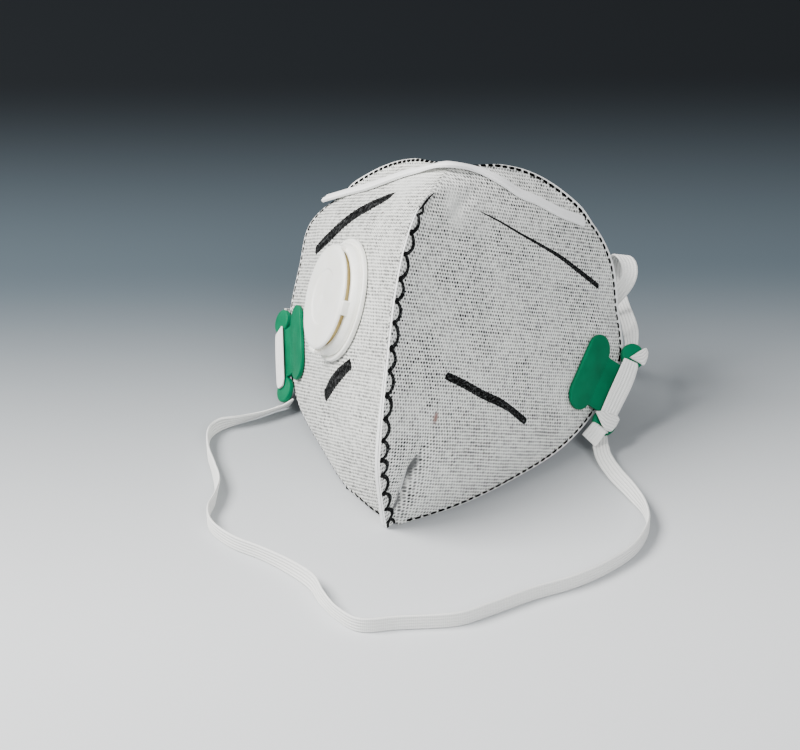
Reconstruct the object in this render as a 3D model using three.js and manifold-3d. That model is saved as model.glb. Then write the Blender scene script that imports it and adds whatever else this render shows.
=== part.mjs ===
// Folding dust mask resting on its chin: two cloth panels welded along a front seam, a nose
// strip, a round exhalation valve, a strap clip on each side and two flat elastic headbands.
// Millimetres, +Z up. The seam faces -Y, the wearer's face goes in from +Y, and +X is the
// right-hand panel. The origin is the middle of the footprint, on the surface it rests on.

import * as THREE from 'three';
import { mergeVertices } from 'three/addons/utils/BufferGeometryUtils.js';
import Module from 'manifold-3d';

const wasm = await Module();
wasm.setup();

const { degToRad, smoothstep } = THREE.MathUtils;

// ---------- Driving dimensions ----------

const GAP = 0.3;                    // clearance between pieces that touch
const SEAM_LENGTH = 154;            // along the front seam, chin to nose

const WALL = 1.6;                   // cloth
const RIM_WALL = 0.9;               // cloth at its pressed edge
const RIM_TAPER = 7;                // width of the band that thins towards the rim
const WALL_GROWTH = 0.03;           // extra wall beyond the rim's, as a share of the panel's width
const PANEL_ROWS = 36;              // steps along the seam
const PANEL_COLUMNS = 15;           // steps from the seam to the rim
const PANEL_SWELL = [0.02, 0.03];   // outward swell at one and two thirds, as a share of the width

const FIN_WIDTH = 3.8;              // welded edge that stands out along the seam
const FIN_WIDTH_NOSE = 0.3;         // the same under the nose strip
const FIN_LAYER = 1.1;              // thickness of one of its two layers
const FIN_LEAN = degToRad(33);      // it leans to the left
const FIN_FADE = [0.80, 0.90];      // where it dies away, as a share of the seam
const FIN_CORNER = 1.4;             // depth of the inner corner behind the fin's foot

const VALVE_AT = { t: 0.557, u: 0.433 };          // share along the seam, share towards the rim
const VALVE_FLAT = { full: 23, fade: 34 };        // radii of the pressed flat around it
const VALVE_HOLE = { radius: 13.4, depth: 12 };
const VALVE_SPOKE = { length: 26, width: 1.6, thickness: 1.2, height: 1 };
const VALVE_FLAP = { radius: 15, thickness: 0.5, height: 2.55 };
const VALVE_BRIDGE = { width: 5.2, depth: 1.9, thickness: 3, radius: 18.4, height: 5.7 };
const VALVE_BRIDGE_TURNS = [18, -72, -162, 108];
const VALVE_SIDES = 40;

const STRIP_WIDTH = 4;
const STRIP_THICKNESS = 1.2;
const STRIP_STEPS = 24;

const CLIP_PLATE = { length: 30, width: 12.5, thickness: 1.6 };
const CLIP_WEB = { length: 20, thickness: 1.5, bendAt: 7.5 };
const CLIP_BAR = { length: 38, shaft: 34, width: 5, lobe: 9.6, thickness: 2.2 };
const CLIP_FLAT = { halfLength: 17, halfWidth: 8, fade: 1.8 };
const ROUND_END_SEGMENTS = 8;

const BAND_WIDTH = 6;
const BAND_THICKNESS = 1;
const BAND_EDGE = 0.4;              // how far its rounded edges reach in
const BAND_EDGE_SHARE = 0.3;        // of its thickness that is left at the very edge
const BAND_STEP = 8;                // spacing of the headband sections
const WRAP_FRONT_LENGTH = 23;       // of the band that lies along a clip's rear bar
const TAIL_STEP = 3;                // spacing of the sections of a wrap's loose end

// ---------- Tables ----------

// One row for each cross-section, chin to nose: the seam's cut edge, then each panel's rim.
const SECTIONS = [
  { seam: [-1.6, -51.5, 0.8], right: [2.7, -48.8, 0.3], left: [-2.8, -47.2, 0.5] },
  { seam: [-1.9, -55.5, 16], right: [21, -32.5, 1], left: [-20.5, -32.5, 1] },
  { seam: [-1.9, -58.5, 31], right: [37, -12.5, 2.5], left: [-36.5, -12, 2.5] },
  { seam: [-1.3, -57.5, 46], right: [50, 7.5, 5], left: [-50, 6.5, 5] },
  { seam: [-1.3, -52.5, 60.5], right: [59, 26.5, 12], left: [-60, 25, 10.5] },
  { seam: [-1.9, -44.5, 74], right: [64.5, 42, 24], left: [-65, 41, 23] },
  { seam: [-2.6, -34.5, 86], right: [60.5, 52.5, 39.5], left: [-64, 52, 40] },
  { seam: [-2.5, -23.5, 97], right: [56, 57, 58.5], left: [-60, 56, 58] },
  { seam: [-1, -10.5, 105.5], right: [45.5, 54, 77], left: [-43.5, 54.5, 75] },
  { seam: [2, 4, 107.5], right: [26.5, 44.5, 95], left: [-23, 44, 92.5] },
  { seam: [2.5, 19.5, 107.5], right: [3.8, 23.5, 108], left: [0.6, 23.8, 108.5] },
];

// One row for each dent: its middle in millimetres from the seam and along it, the turn of
// its long axis from the across direction, its half length, half width and depth.
const DENTS = [
  { panel: 'right', across: 10, along: 22, turn: 28, halfLength: 22, halfWidth: 3.5, depth: 1.5 },
  { panel: 'right', across: 41, along: 40, turn: 90, halfLength: 12, halfWidth: 5, depth: 0.8 },
  { panel: 'right', across: 37, along: 100, turn: 110, halfLength: 22, halfWidth: 4, depth: 0.6 },
  { panel: 'left', across: 50, along: 44, turn: 24, halfLength: 12, halfWidth: 4, depth: 1 },
];

// Where each clip's plate lies on its panel, its long axis, the way it faces, and how its rear
// bar stands off: the bend of the web and the reach from the bend to the middle of the bar.
const CLIPS = {
  right: {
    at: [54.5, 25, 27.7],
    along: [6.3, 24.6, 17.6],
    facing: [0.87, -0.42, 0.25],
    bend: 25,
    reach: 7.5,
  },
  left: {
    at: [-55, 22.9, 24.2],
    along: [-8.3, 24.9, 17.5],
    facing: [-0.85, -0.46, 0.24],
    bend: 14,
    reach: 6.5,
  },
};

// The nose strip's course over the cloth, left end to right end: panel, share along the seam,
// share towards the rim, and height above the cloth. The crest over the nose is a point.
const STRIP_COURSE = [
  { panel: 'left', t: 0.752, u: 1, rise: 2.3 },
  { panel: 'left', t: 0.79, u: 0.92, rise: 0.5 },
  { panel: 'left', t: 0.82, u: 0.77, rise: 0.4 },
  { panel: 'left', t: 0.88, u: 0.56, rise: 0.4 },
  { panel: 'left', t: 0.92, u: 0.44, rise: 0.6 },
  { at: [1.9, 17.6, 108.8], facing: [0, 0, 1] },
  { panel: 'right', t: 0.945, u: 0.535, rise: 0.7 },
  { panel: 'right', t: 0.89, u: 0.58, rise: 0.5 },
  { panel: 'right', t: 0.85, u: 0.65, rise: 0.4 },
  { panel: 'right', t: 0.83, u: 0.73, rise: 0.4 },
  { panel: 'right', t: 0.8, u: 0.82, rise: 0.4 },
  { panel: 'right', t: 0.78, u: 0.93, rise: 0.5 },
];

// Cross-section of the strip: share of the half width, and share of the thickness above it.
const STRIP_PROFILE = [
  { across: -1, height: 0.6 },
  { across: -0.15, height: 0.75 },
  { across: 0.1, height: 1 },
  { across: 1, height: 1 },
];

// Profiles of the valve's turned pieces, as pairs of radius and height above the cloth.
const VALVE_PROFILES = {
  flange: [[17.1, 0.3], [22, 0.3], [22.3, 0.6], [22.2, 1.9], [21.3, 2], [20.8, 1.6], [17.1, 1.6]],
  seat: [[12.2, 0.3], [16.7, 0.3], [16.7, 2], [12.2, 2]],
  body: [[17.4, 2.3], [20.5, 2.3], [20.3, 3.2], [19.2, 5], [17.4, 5]],
  cap: [[0, 6.4], [18.2, 6.4], [19, 6.9], [19, 7.4], [18, 8.1], [9.9, 8.2], [9.7, 8], [0, 8]],
};

// The loose end of each wrap, from the rear bar to the surface: its middle and the direction
// of its width, first in the bar's own axes and then in the mask's.
const WRAP_TAILS = {
  right: {
    onBar: [
      { at: [0, -9.5, 1.9], across: [1, 0, 0] },
      { at: [0, -18.6, 2.3], across: [1, 0, 0] },
      { at: [-0.5, -21.3, 0.5], across: [1, 0, 0] },
    ],
    free: [
      { at: [59.4, 21.2, 5.3], across: [0.8, -0.16, -0.58] },
      { at: [56.6, 18.2, 1.7], across: [0.8, -0.16, -0.58] },
    ],
  },
  left: {
    onBar: [
      { at: [1.8, 6, -1.9], across: [1, 0, 0] },
      { at: [2.2, 14, -2.1], across: [1, 0, 0] },
    ],
    free: [
      { at: [-56, 12.6, 3.1], across: [-0.3, 0.1, -0.9] },
      { at: [-58.7, 9.2, 3], across: [0, 0, -1] },
    ],
  },
};

// Routes of the two headbands: the middle of the band and the direction of its width.
const UPRIGHT = [0, 0, 1];
const LOWER_BAND = [
  { at: [-59.2, 8.9, 3], across: UPRIGHT },
  { at: [-65, 2.5, 3], across: UPRIGHT },
  { at: [-72, -3.5, 3], across: UPRIGHT },
  { at: [-77.5, -8.5, 3], across: UPRIGHT },
  { at: [-79, -15.5, 3], across: UPRIGHT },
  { at: [-75.5, -26, 3], across: UPRIGHT },
  { at: [-70, -36, 3], across: [0.1, 0.1, 1] },
  { at: [-65.5, -45, 3], across: [0.25, 0.15, 1] },
  { at: [-63.5, -54, 3], across: [0.1, 0, 1] },
  { at: [-63, -62, 3], across: UPRIGHT },
  { at: [-59, -70, 3], across: UPRIGHT },
  { at: [-49.5, -76.5, 3], across: UPRIGHT },
  { at: [-37, -80.5, 3], across: UPRIGHT },
  { at: [-25.5, -85.5, 3], across: [0.1, 0.15, 1] },
  { at: [-16, -91.5, 3], across: [0.15, 0.3, 1] },
  { at: [-10, -99, 3], across: [0.1, 0.15, 1] },
  { at: [-3, -105.5, 3], across: UPRIGHT },
  { at: [6, -109.5, 3], across: UPRIGHT },
  { at: [18, -105, 3], across: UPRIGHT },
  { at: [35.5, -98.5, 3], across: UPRIGHT },
  { at: [45, -90.5, 3], across: UPRIGHT },
  { at: [57, -78.5, 3], across: UPRIGHT },
  { at: [70, -67.5, 3], across: UPRIGHT },
  { at: [79.5, -56, 3], across: UPRIGHT },
  { at: [86, -44, 3], across: UPRIGHT },
  { at: [88, -31, 3], across: UPRIGHT },
  { at: [85.5, -21, 3], across: [0.05, 0.05, 1] },
  { at: [79, -11.5, 3], across: [0.35, 0.3, 0.9] },
  { at: [71, -1.5, 2.9], across: [0.6, 0.45, 0.65] },
  { at: [65.5, 6.5, 3.6], across: [0.73, 0.45, 0.47] },
  { at: [63, 12.4, 4.5], across: [0.75, 0.3, 0.1] },
];
const UPPER_BAND = [
  { at: [66.8, 47.5, 28.5], across: [0.8, 0.3, -0.5] },
  { at: [65.4, 53, 30.6], across: [0.9, 0.3, -0.2] },
  { at: [63, 58.5, 32.7], across: [0.9, 0.38, 0.1] },
  { at: [60, 63.5, 35.1], across: [0.88, 0.4, 0.25] },
  { at: [57.5, 67, 38.5], across: [0.9, 0.4, 0.2] },
  { at: [55.9, 69, 42.8], across: [0.95, 0.35, 0.1] },
  { at: [55.5, 68.5, 48.6], across: [1, 0.3, 0] },
  { at: [56.9, 65.5, 54.3], across: [1, 0.3, -0.1] },
  { at: [59.5, 62, 56.8], across: [1, 0.2, -0.15] },
  { at: [62.1, 59.5, 55.7], across: [0.95, 0.1, -0.3] },
  { at: [63, 57.8, 52.5], across: [0.92, 0, -0.4] },
  { at: [61.9, 57.5, 48.3], across: [0.91, 0, -0.42] },
  { at: [59.6, 58, 43.8], across: [0.91, 0, -0.42] },
  { at: [56.3, 59.2, 38.5], across: [0.9, 0, -0.42] },
  { at: [52.2, 61, 31.8], across: [0.9, 0.05, -0.3] },
  { at: [48.5, 69, 18], across: [0.7, 0.1, 0.6] },
  { at: [43, 76, 8], across: [0.3, 0.2, 0.9] },
  { at: [36, 80, 4], across: UPRIGHT },
  { at: [27, 83.6, 3], across: UPRIGHT },
  { at: [14, 87, 3], across: UPRIGHT },
  { at: [0, 88, 3], across: UPRIGHT },
  { at: [-20, 86, 3], across: UPRIGHT },
  { at: [-37, 80, 3.3], across: UPRIGHT },
  { at: [-53, 68, 7], across: [-0.3, 0.1, 0.9] },
  { at: [-61, 57, 14], across: [-0.6, 0.2, 0.7] },
  { at: [-65.5, 49, 20], across: [-0.65, 0.25, 0.68] },
  { at: [-67.5, 44.8, 23], across: [-0.68, 0.26, 0.68] },
];

// ---------- Solids ----------

function vector(list) {
  return new THREE.Vector3(...list);
}

function solidFrom(geometry) {
  const bare = new THREE.BufferGeometry();
  bare.setAttribute('position', geometry.getAttribute('position').clone());
  bare.setIndex(geometry.getIndex());
  const merged = mergeVertices(bare, 1e-4);
  return new wasm.Manifold(new wasm.Mesh({
    numProp: 3,
    vertProperties: new Float32Array(merged.getAttribute('position').array),
    triVerts: new Uint32Array(merged.getIndex().array),
  }));
}

function geometryFrom(solid) {
  const mesh = solid.getMesh();
  const geometry = new THREE.BufferGeometry();
  geometry.setAttribute('position', new THREE.BufferAttribute(mesh.vertProperties, 3));
  geometry.setIndex(new THREE.BufferAttribute(mesh.triVerts, 1));
  return geometry;
}

function placed(geometry, matrix) {
  return solidFrom(geometry.clone().applyMatrix4(matrix));
}

function volumeOf(points, faces) {
  return faces.reduce((sum, [a, b, c]) => {
    return sum + points[a].dot(points[b].clone().cross(points[c])) / 6;
  }, 0);
}

// A closed skin over a row of sections. Each section has as many outer points as inner points,
// and the two end sections are closed by strips between them.
function loft(sections) {
  const count = sections[0].outer.length;
  const ring = 2 * count;
  const points = sections.flatMap(({ outer, inner }) => [...outer, ...inner.toReversed()]);
  const faces = [];
  const quad = (a, b, c, d) => faces.push([a, b, c], [a, c, d]);
  for (let row = 0; row < sections.length - 1; row += 1) {
    for (let k = 0; k < ring; k += 1) {
      const next = (k + 1) % ring;
      quad(row * ring + k, row * ring + next, (row + 1) * ring + next, (row + 1) * ring + k);
    }
  }
  const last = (sections.length - 1) * ring;
  for (let k = 0; k < count - 1; k += 1) {
    const facing = ring - 1 - k;
    quad(k, facing, facing - 1, k + 1);
    quad(last + k, last + k + 1, last + facing - 1, last + facing);
  }
  if (volumeOf(points, faces) < 0) {
    faces.forEach((face) => face.reverse());
  }
  const geometry = new THREE.BufferGeometry().setFromPoints(points);
  geometry.setIndex(faces.flat());
  return geometry;
}

function curveThrough(points) {
  return new THREE.CatmullRomCurve3(points, false, 'centripetal');
}

// ---------- The cloth surface ----------

const EDGES = Object.fromEntries(['seam', 'right', 'left'].map((edge) => {
  const points = SECTIONS.map((section) => vector(section[edge]));
  return [edge, new THREE.CatmullRomCurve3(points, false, 'catmullrom', 0.5)];
}));
const SIDE_SIGN = { right: 1, left: -1 };
const SLOPE_STEP = 0.004;           // share of a panel over which its slope is measured

function seamFrame(t) {
  const along = EDGES.seam.getTangent(t);
  const sideways = new THREE.Vector3(1, 0, 0).addScaledVector(along, -along.x).normalize();
  const forward = sideways.clone().cross(along).normalize();
  const fade = 1 - smoothstep(t, ...FIN_FADE);
  const lean = FIN_LEAN * fade;
  const width = FIN_WIDTH_NOSE + (FIN_WIDTH - FIN_WIDTH_NOSE) * fade;
  const out = forward.clone().multiplyScalar(Math.cos(lean));
  out.addScaledVector(sideways, -Math.sin(lean));
  const across = sideways.multiplyScalar(Math.cos(lean)).addScaledVector(forward, Math.sin(lean));
  const tip = EDGES.seam.getPoint(t);
  return { out, across, tip, root: tip.clone().addScaledVector(out, -width) };
}

// The panel before anything is pressed into it: a shallow arc from the fin's foot to the rim.
function plainCloth(panel, t, u) {
  const sign = SIDE_SIGN[panel];
  const { across, root } = seamFrame(t);
  const start = root.addScaledVector(across, sign * (GAP / 2 + FIN_LAYER));
  const rim = EDGES[panel].getPoint(t);
  const chord = rim.clone().sub(start);
  const along = EDGES.seam.getTangent(t).multiplyScalar(SEAM_LENGTH);
  along.addScaledVector(EDGES[panel].getTangent(t), EDGES[panel].getLength());
  const outward = chord.clone().cross(along).normalize().multiplyScalar(sign);
  const controls = PANEL_SWELL.map((swell, k) => {
    const third = start.clone().addScaledVector(chord, (k + 1) / 3);
    return third.addScaledVector(outward, chord.length() * swell);
  });
  const arc = new THREE.CubicBezierCurve3(start, ...controls, rim);
  return { point: arc.getPoint(u), outward, width: chord.length() };
}

function normalOf(pointAt, panel, t, u) {
  const [t0, t1] = [Math.max(t - SLOPE_STEP, 0), Math.min(t + SLOPE_STEP, 1)];
  const [u0, u1] = [Math.max(u - SLOPE_STEP, 0), Math.min(u + SLOPE_STEP, 1)];
  const across = pointAt(panel, t, u1).sub(pointAt(panel, t, u0));
  const along = pointAt(panel, t1, u).sub(pointAt(panel, t0, u));
  return across.cross(along).normalize().multiplyScalar(SIDE_SIGN[panel]);
}

function plainPoint(panel, t, u) {
  return plainCloth(panel, t, u).point;
}

const VALVE_SEAT_AT = plainPoint('left', VALVE_AT.t, VALVE_AT.u);
const VALVE_FACING = normalOf(plainPoint, 'left', VALVE_AT.t, VALVE_AT.u);

function pressFlat(point, centre, facing, share) {
  const height = point.clone().sub(centre).dot(facing);
  point.addScaledVector(facing, -height * share);
}

function valveFlatShare(point) {
  const distance = point.distanceTo(VALVE_SEAT_AT);
  return 1 - smoothstep(distance, VALVE_FLAT.full, VALVE_FLAT.fade);
}

function clipFlatShare(point, clip) {
  const offset = point.clone().sub(clip.centre);
  const lengthwise = offset.dot(clip.along) / CLIP_FLAT.halfLength;
  const crosswise = offset.dot(clip.outboard) / CLIP_FLAT.halfWidth;
  return 1 - smoothstep(Math.hypot(lengthwise, crosswise), 1, CLIP_FLAT.fade);
}

function dentDepth(panel, across, along) {
  return DENTS.filter((dent) => dent.panel === panel).reduce((sum, dent) => {
    const turn = degToRad(dent.turn);
    const x = across - dent.across;
    const y = along - dent.along;
    const lengthwise = (x * Math.cos(turn) + y * Math.sin(turn)) / dent.halfLength;
    const crosswise = (y * Math.cos(turn) - x * Math.sin(turn)) / dent.halfWidth;
    return sum + dent.depth * Math.exp(-(lengthwise ** 2) - crosswise ** 2);
  }, 0);
}

// Axes of a clip: its long axis, the way out past the rim, and the way it faces.
function clipFrame(side) {
  const { at, along: alongList, facing: facingList, bend, reach } = CLIPS[side];
  const along = vector(alongList).normalize();
  const facing = vector(facingList);
  facing.addScaledVector(along, -facing.dot(along)).normalize();
  const outboard = along.clone().cross(facing).multiplyScalar(SIDE_SIGN[side]);
  return { side, centre: vector(at), along, facing, outboard, bend: degToRad(bend), reach };
}

const CLIP_FRAMES = { right: clipFrame('right'), left: clipFrame('left') };

function clothPoint(panel, t, u) {
  const { point, outward, width } = plainCloth(panel, t, u);
  point.addScaledVector(outward, -dentDepth(panel, u * width, t * SEAM_LENGTH));
  if (panel === 'left') {
    pressFlat(point, VALVE_SEAT_AT, VALVE_FACING, valveFlatShare(point));
  }
  const clip = CLIP_FRAMES[panel];
  pressFlat(point, clip.centre, clip.facing, clipFlatShare(point, clip));
  return point;
}

// ---------- Panels ----------

function panelSection(panel, t) {
  const sign = SIDE_SIGN[panel];
  const { out, across, tip, root } = seamFrame(t);
  const { width } = plainCloth(panel, t, 0);
  const outerSide = sign * (GAP / 2 + FIN_LAYER);
  const innerSide = sign * GAP / 2;
  const wall = Math.min(WALL, RIM_WALL + width * WALL_GROWTH);
  const outer = [tip.clone().addScaledVector(across, outerSide), clothPoint(panel, t, 0)];
  const inner = [
    tip.clone().addScaledVector(across, innerSide),
    root.clone().addScaledVector(across, innerSide).addScaledVector(out, -Math.min(FIN_CORNER, wall)),
  ];
  for (let column = 1; column <= PANEL_COLUMNS; column += 1) {
    const u = column / PANEL_COLUMNS;
    const point = clothPoint(panel, t, u);
    const edge = smoothstep((1 - u) * width, 0, RIM_TAPER);
    const normal = normalOf(plainPoint, panel, t, u);
    const under = point.clone().addScaledVector(normal, -RIM_WALL - (wall - RIM_WALL) * edge);
    const clearance = sign * across.dot(under.clone().sub(root));
    under.addScaledVector(across, sign * Math.max(0, GAP / 2 - clearance));
    outer.push(point);
    inner.push(under);
  }
  return { outer, inner };
}

function panelGeometry(panel) {
  const sections = [];
  for (let row = 0; row <= PANEL_ROWS; row += 1) {
    sections.push(panelSection(panel, row / PANEL_ROWS));
  }
  return loft(sections);
}

function leftPanelGeometry() {
  const { radius, depth } = VALVE_HOLE;
  const punch = new THREE.CylinderGeometry(radius, radius, depth, VALVE_SIDES).rotateX(Math.PI / 2);
  return geometryFrom(solidFrom(panelGeometry('left')).subtract(placed(punch, VALVE_MATRIX)));
}

// ---------- Nose strip ----------

function stripGeometry() {
  const stations = STRIP_COURSE.map(({ panel, t, u, rise, at, facing }) => {
    if (at) {
      return { point: vector(at), facing: vector(facing) };
    }
    const normal = normalOf(clothPoint, panel, t, u);
    return { point: clothPoint(panel, t, u).addScaledVector(normal, rise), facing: normal };
  });
  const course = curveThrough(stations.map(({ point }) => point));
  const facings = curveThrough(stations.map(({ facing }) => facing));
  const sections = [];
  for (let step = 0; step <= STRIP_STEPS; step += 1) {
    const t = step / STRIP_STEPS;
    const middle = course.getPoint(t);
    const facing = facings.getPoint(t).normalize();
    const across = course.getTangent(t).cross(facing).normalize();
    const up = across.clone().cross(course.getTangent(t)).normalize();
    const face = (thickness) => STRIP_PROFILE.map((corner) => {
      const place = middle.clone().addScaledVector(across, corner.across * STRIP_WIDTH / 2);
      return place.addScaledVector(up, corner.height * thickness);
    });
    sections.push({ outer: face(STRIP_THICKNESS), inner: face(0) });
  }
  return loft(sections);
}

// ---------- Valve ----------

// The valve is modelled around +Z and then turned so that +Y points to the nose.
const VALVE_MATRIX = valveMatrix();

function valveMatrix() {
  const up = new THREE.Vector3(0, 0, 1);
  const side = up.clone().cross(VALVE_FACING).normalize();
  const top = VALVE_FACING.clone().cross(side);
  return new THREE.Matrix4().makeBasis(side, top, VALVE_FACING).setPosition(VALVE_SEAT_AT);
}

// A solid of revolution. A profile that starts off the axis closes on itself.
function turned(profile) {
  const [[firstRadius]] = profile;
  const loop = firstRadius > 0 ? [...profile, profile[0]] : profile;
  const points = loop.map(([radius, height]) => new THREE.Vector2(radius, height));
  return new THREE.LatheGeometry(points, VALVE_SIDES).rotateX(Math.PI / 2);
}

function fused(first, others) {
  return geometryFrom(others.reduce((solid, piece) => solid.add(solidFrom(piece)), solidFrom(first)));
}

function seatGeometry() {
  const { length, width, thickness, height } = VALVE_SPOKE;
  const spokes = [0, 1].map((k) => {
    const spoke = new THREE.BoxGeometry(length, width, thickness);
    return spoke.translate(0, 0, height).rotateZ(k * Math.PI / 2);
  });
  return fused(turned(VALVE_PROFILES.seat), spokes);
}

function flapGeometry() {
  const { radius, thickness, height } = VALVE_FLAP;
  const disc = new THREE.CylinderGeometry(radius, radius, thickness, VALVE_SIDES);
  return disc.rotateX(Math.PI / 2).translate(0, 0, height);
}

// Body ring and cap with the outlet slots between them, joined by four bridges.
function coverGeometry() {
  const { width, depth, thickness, radius, height } = VALVE_BRIDGE;
  const bridges = VALVE_BRIDGE_TURNS.map((turn) => {
    const bridge = new THREE.BoxGeometry(width, depth, thickness);
    return bridge.translate(0, radius, height).rotateZ(degToRad(turn));
  });
  return fused(turned(VALVE_PROFILES.body), [turned(VALVE_PROFILES.cap), ...bridges]);
}

// ---------- Strap clips ----------

function stadium(length, width) {
  const radius = width / 2;
  const straight = length / 2 - radius;
  const outline = new THREE.Shape();
  outline.absarc(0, straight, radius, 0, Math.PI);
  outline.absarc(0, -straight, radius, Math.PI, 2 * Math.PI);
  return outline;
}

function slab(outline, thickness) {
  const options = { depth: thickness, bevelEnabled: false, curveSegments: ROUND_END_SEGMENTS };
  return new THREE.ExtrudeGeometry(outline, options).translate(0, 0, -thickness / 2);
}

// Basis of a clip's plate: X outboard, Z the way it faces, and Y along the clip, which runs
// up on the right and down on the left.
function plateMatrix({ centre, facing, outboard }) {
  const middle = centre.clone().addScaledVector(facing, GAP + CLIP_PLATE.thickness / 2);
  const lengthwise = facing.clone().cross(outboard);
  return new THREE.Matrix4().makeBasis(outboard, lengthwise, facing).setPosition(middle);
}

// The same for the rear bar, which stands off on the bent web.
function barMatrix(clip) {
  const bent = new THREE.Matrix4().makeTranslation(CLIP_WEB.bendAt, 0, 0);
  bent.multiply(new THREE.Matrix4().makeRotationY(-clip.bend));
  bent.multiply(new THREE.Matrix4().makeTranslation(clip.reach, 0, 0));
  return plateMatrix(clip).multiply(bent);
}

function webGeometry({ bend, reach }) {
  const half = CLIP_WEB.thickness / 2;
  const ahead = { x: reach * Math.cos(bend), z: reach * Math.sin(bend) };
  const outline = new THREE.Shape();
  outline.moveTo(0, -half);
  outline.lineTo(CLIP_WEB.bendAt, -half);
  outline.lineTo(CLIP_WEB.bendAt + ahead.x, ahead.z - half);
  outline.lineTo(CLIP_WEB.bendAt + ahead.x, ahead.z + half);
  outline.lineTo(CLIP_WEB.bendAt, half);
  outline.lineTo(0, half);
  const web = slab(outline, CLIP_WEB.length);
  return web.rotateX(Math.PI / 2);
}

function clipGeometry(side) {
  const clip = CLIP_FRAMES[side];
  const plate = slab(stadium(CLIP_PLATE.length, CLIP_PLATE.width), CLIP_PLATE.thickness);
  const shaft = slab(stadium(CLIP_BAR.shaft, CLIP_BAR.width), CLIP_BAR.thickness);
  const lobe = slab(stadium(CLIP_BAR.lobe, CLIP_BAR.lobe), CLIP_BAR.thickness);
  const lobeAt = (CLIP_BAR.length - CLIP_BAR.lobe) / 2;
  const pieces = [
    placed(webGeometry(clip), plateMatrix(clip)),
    placed(shaft, barMatrix(clip)),
    placed(lobe.clone().translate(0, lobeAt, 0), barMatrix(clip)),
    placed(lobe.clone().translate(0, -lobeAt, 0), barMatrix(clip)),
  ];
  return geometryFrom(pieces.reduce((solid, piece) => solid.add(piece), placed(plate, plateMatrix(clip))));
}

// ---------- Elastic bands ----------

// A flat band along a list of stations, each a middle and the direction of the width.
function ribbonGeometry(stations, step) {
  const course = curveThrough(stations.map(({ at }) => at));
  const widths = curveThrough(stations.map(({ across }) => across));
  const sections = [];
  const segments = stations.length - 1;
  for (let segment = 0; segment < segments; segment += 1) {
    const distance = stations[segment].at.distanceTo(stations[segment + 1].at);
    const steps = Math.max(1, Math.round(distance / step));
    const stop = segment === segments - 1 ? steps : steps - 1;
    for (let k = 0; k <= stop; k += 1) {
      const t = (segment + k / steps) / segments;
      sections.push(ribbonSection(course.getPoint(t), course.getTangent(t), widths.getPoint(t)));
    }
  }
  return loft(sections);
}

function ribbonSection(middle, tangent, width) {
  const across = width.clone().addScaledVector(tangent, -width.dot(tangent)).normalize();
  const facing = across.clone().cross(tangent).normalize();
  const half = BAND_WIDTH / 2;
  const rise = BAND_THICKNESS / 2;
  const place = (x, z) => middle.clone().addScaledVector(across, x).addScaledVector(facing, z);
  const face = (side) => [
    place(-half, side * rise * BAND_EDGE_SHARE),
    place(-half + BAND_EDGE, side * rise),
    place(half - BAND_EDGE, side * rise),
    place(half, side * rise * BAND_EDGE_SHARE),
  ];
  return { outer: face(1), inner: face(-1) };
}

function freeStation({ at, across }) {
  return { at: vector(at), across: vector(across) };
}

function bandGeometry(route) {
  return ribbonGeometry(route.map(freeStation), BAND_STEP);
}

// The band folded round a clip's narrow rear bar, with its loose end.
function wrapGeometry(side) {
  const matrix = barMatrix(CLIP_FRAMES[side]);
  const near = CLIP_BAR.thickness / 2 + GAP;
  const far = near + BAND_THICKNESS;
  const edge = CLIP_BAR.width / 2 + GAP;
  const half = BAND_WIDTH / 2;
  const fold = new THREE.Shape();
  fold.moveTo(-half, near);
  fold.lineTo(edge, near);
  fold.lineTo(edge, -near);
  fold.lineTo(-edge / 3, -near);
  fold.lineTo(-edge / 3, -far);
  fold.lineTo(edge + BAND_THICKNESS, -far);
  fold.lineTo(edge + BAND_THICKNESS, far);
  fold.lineTo(-half, far);
  const foldLength = CLIP_BAR.length - 2 * CLIP_BAR.lobe - 2 * GAP;
  const front = new THREE.BoxGeometry(BAND_WIDTH, WRAP_FRONT_LENGTH, BAND_THICKNESS);
  const { onBar, free } = WRAP_TAILS[side];
  const held = onBar.map(({ at, across }) => ({
    at: vector(at).applyMatrix4(matrix),
    across: vector(across).transformDirection(matrix),
  }));
  const tail = ribbonGeometry([...held, ...free.map(freeStation)], TAIL_STEP);
  return geometryFrom(placed(slab(fold, foldLength).rotateX(Math.PI / 2), matrix)
    .add(placed(front.translate(0, 0, (near + far) / 2), matrix))
    .add(solidFrom(tail)));
}

const MATERIALS = {
  cloth: new THREE.MeshStandardMaterial({ color: 0xd9dad8, roughness: 0.95, metalness: 0 }),
  foam: new THREE.MeshStandardMaterial({ color: 0xf2f2f0, roughness: 0.85, metalness: 0 }),
  valve: new THREE.MeshStandardMaterial({ color: 0xf0efe9, roughness: 0.45, metalness: 0 }),
  flap: new THREE.MeshStandardMaterial({ color: 0xb99a62, roughness: 0.5, metalness: 0 }),
  clip: new THREE.MeshStandardMaterial({ color: 0x008c5f, roughness: 0.4, metalness: 0 }),
  elastic: new THREE.MeshStandardMaterial({ color: 0xe9e9e6, roughness: 0.9, metalness: 0 }),
};

function meshOf(name, geometry, material) {
  const mesh = new THREE.Mesh(geometry, MATERIALS[material]);
  mesh.name = name;
  return mesh;
}

const mask = new THREE.Group();
mask.add(meshOf('panel_right', panelGeometry('right'), 'cloth'));
mask.add(meshOf('panel_left', leftPanelGeometry(), 'cloth'));
mask.add(meshOf('nose_strip', stripGeometry(), 'foam'));
mask.add(meshOf('clip_right', clipGeometry('right'), 'clip'));
mask.add(meshOf('clip_left', clipGeometry('left'), 'clip'));

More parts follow.
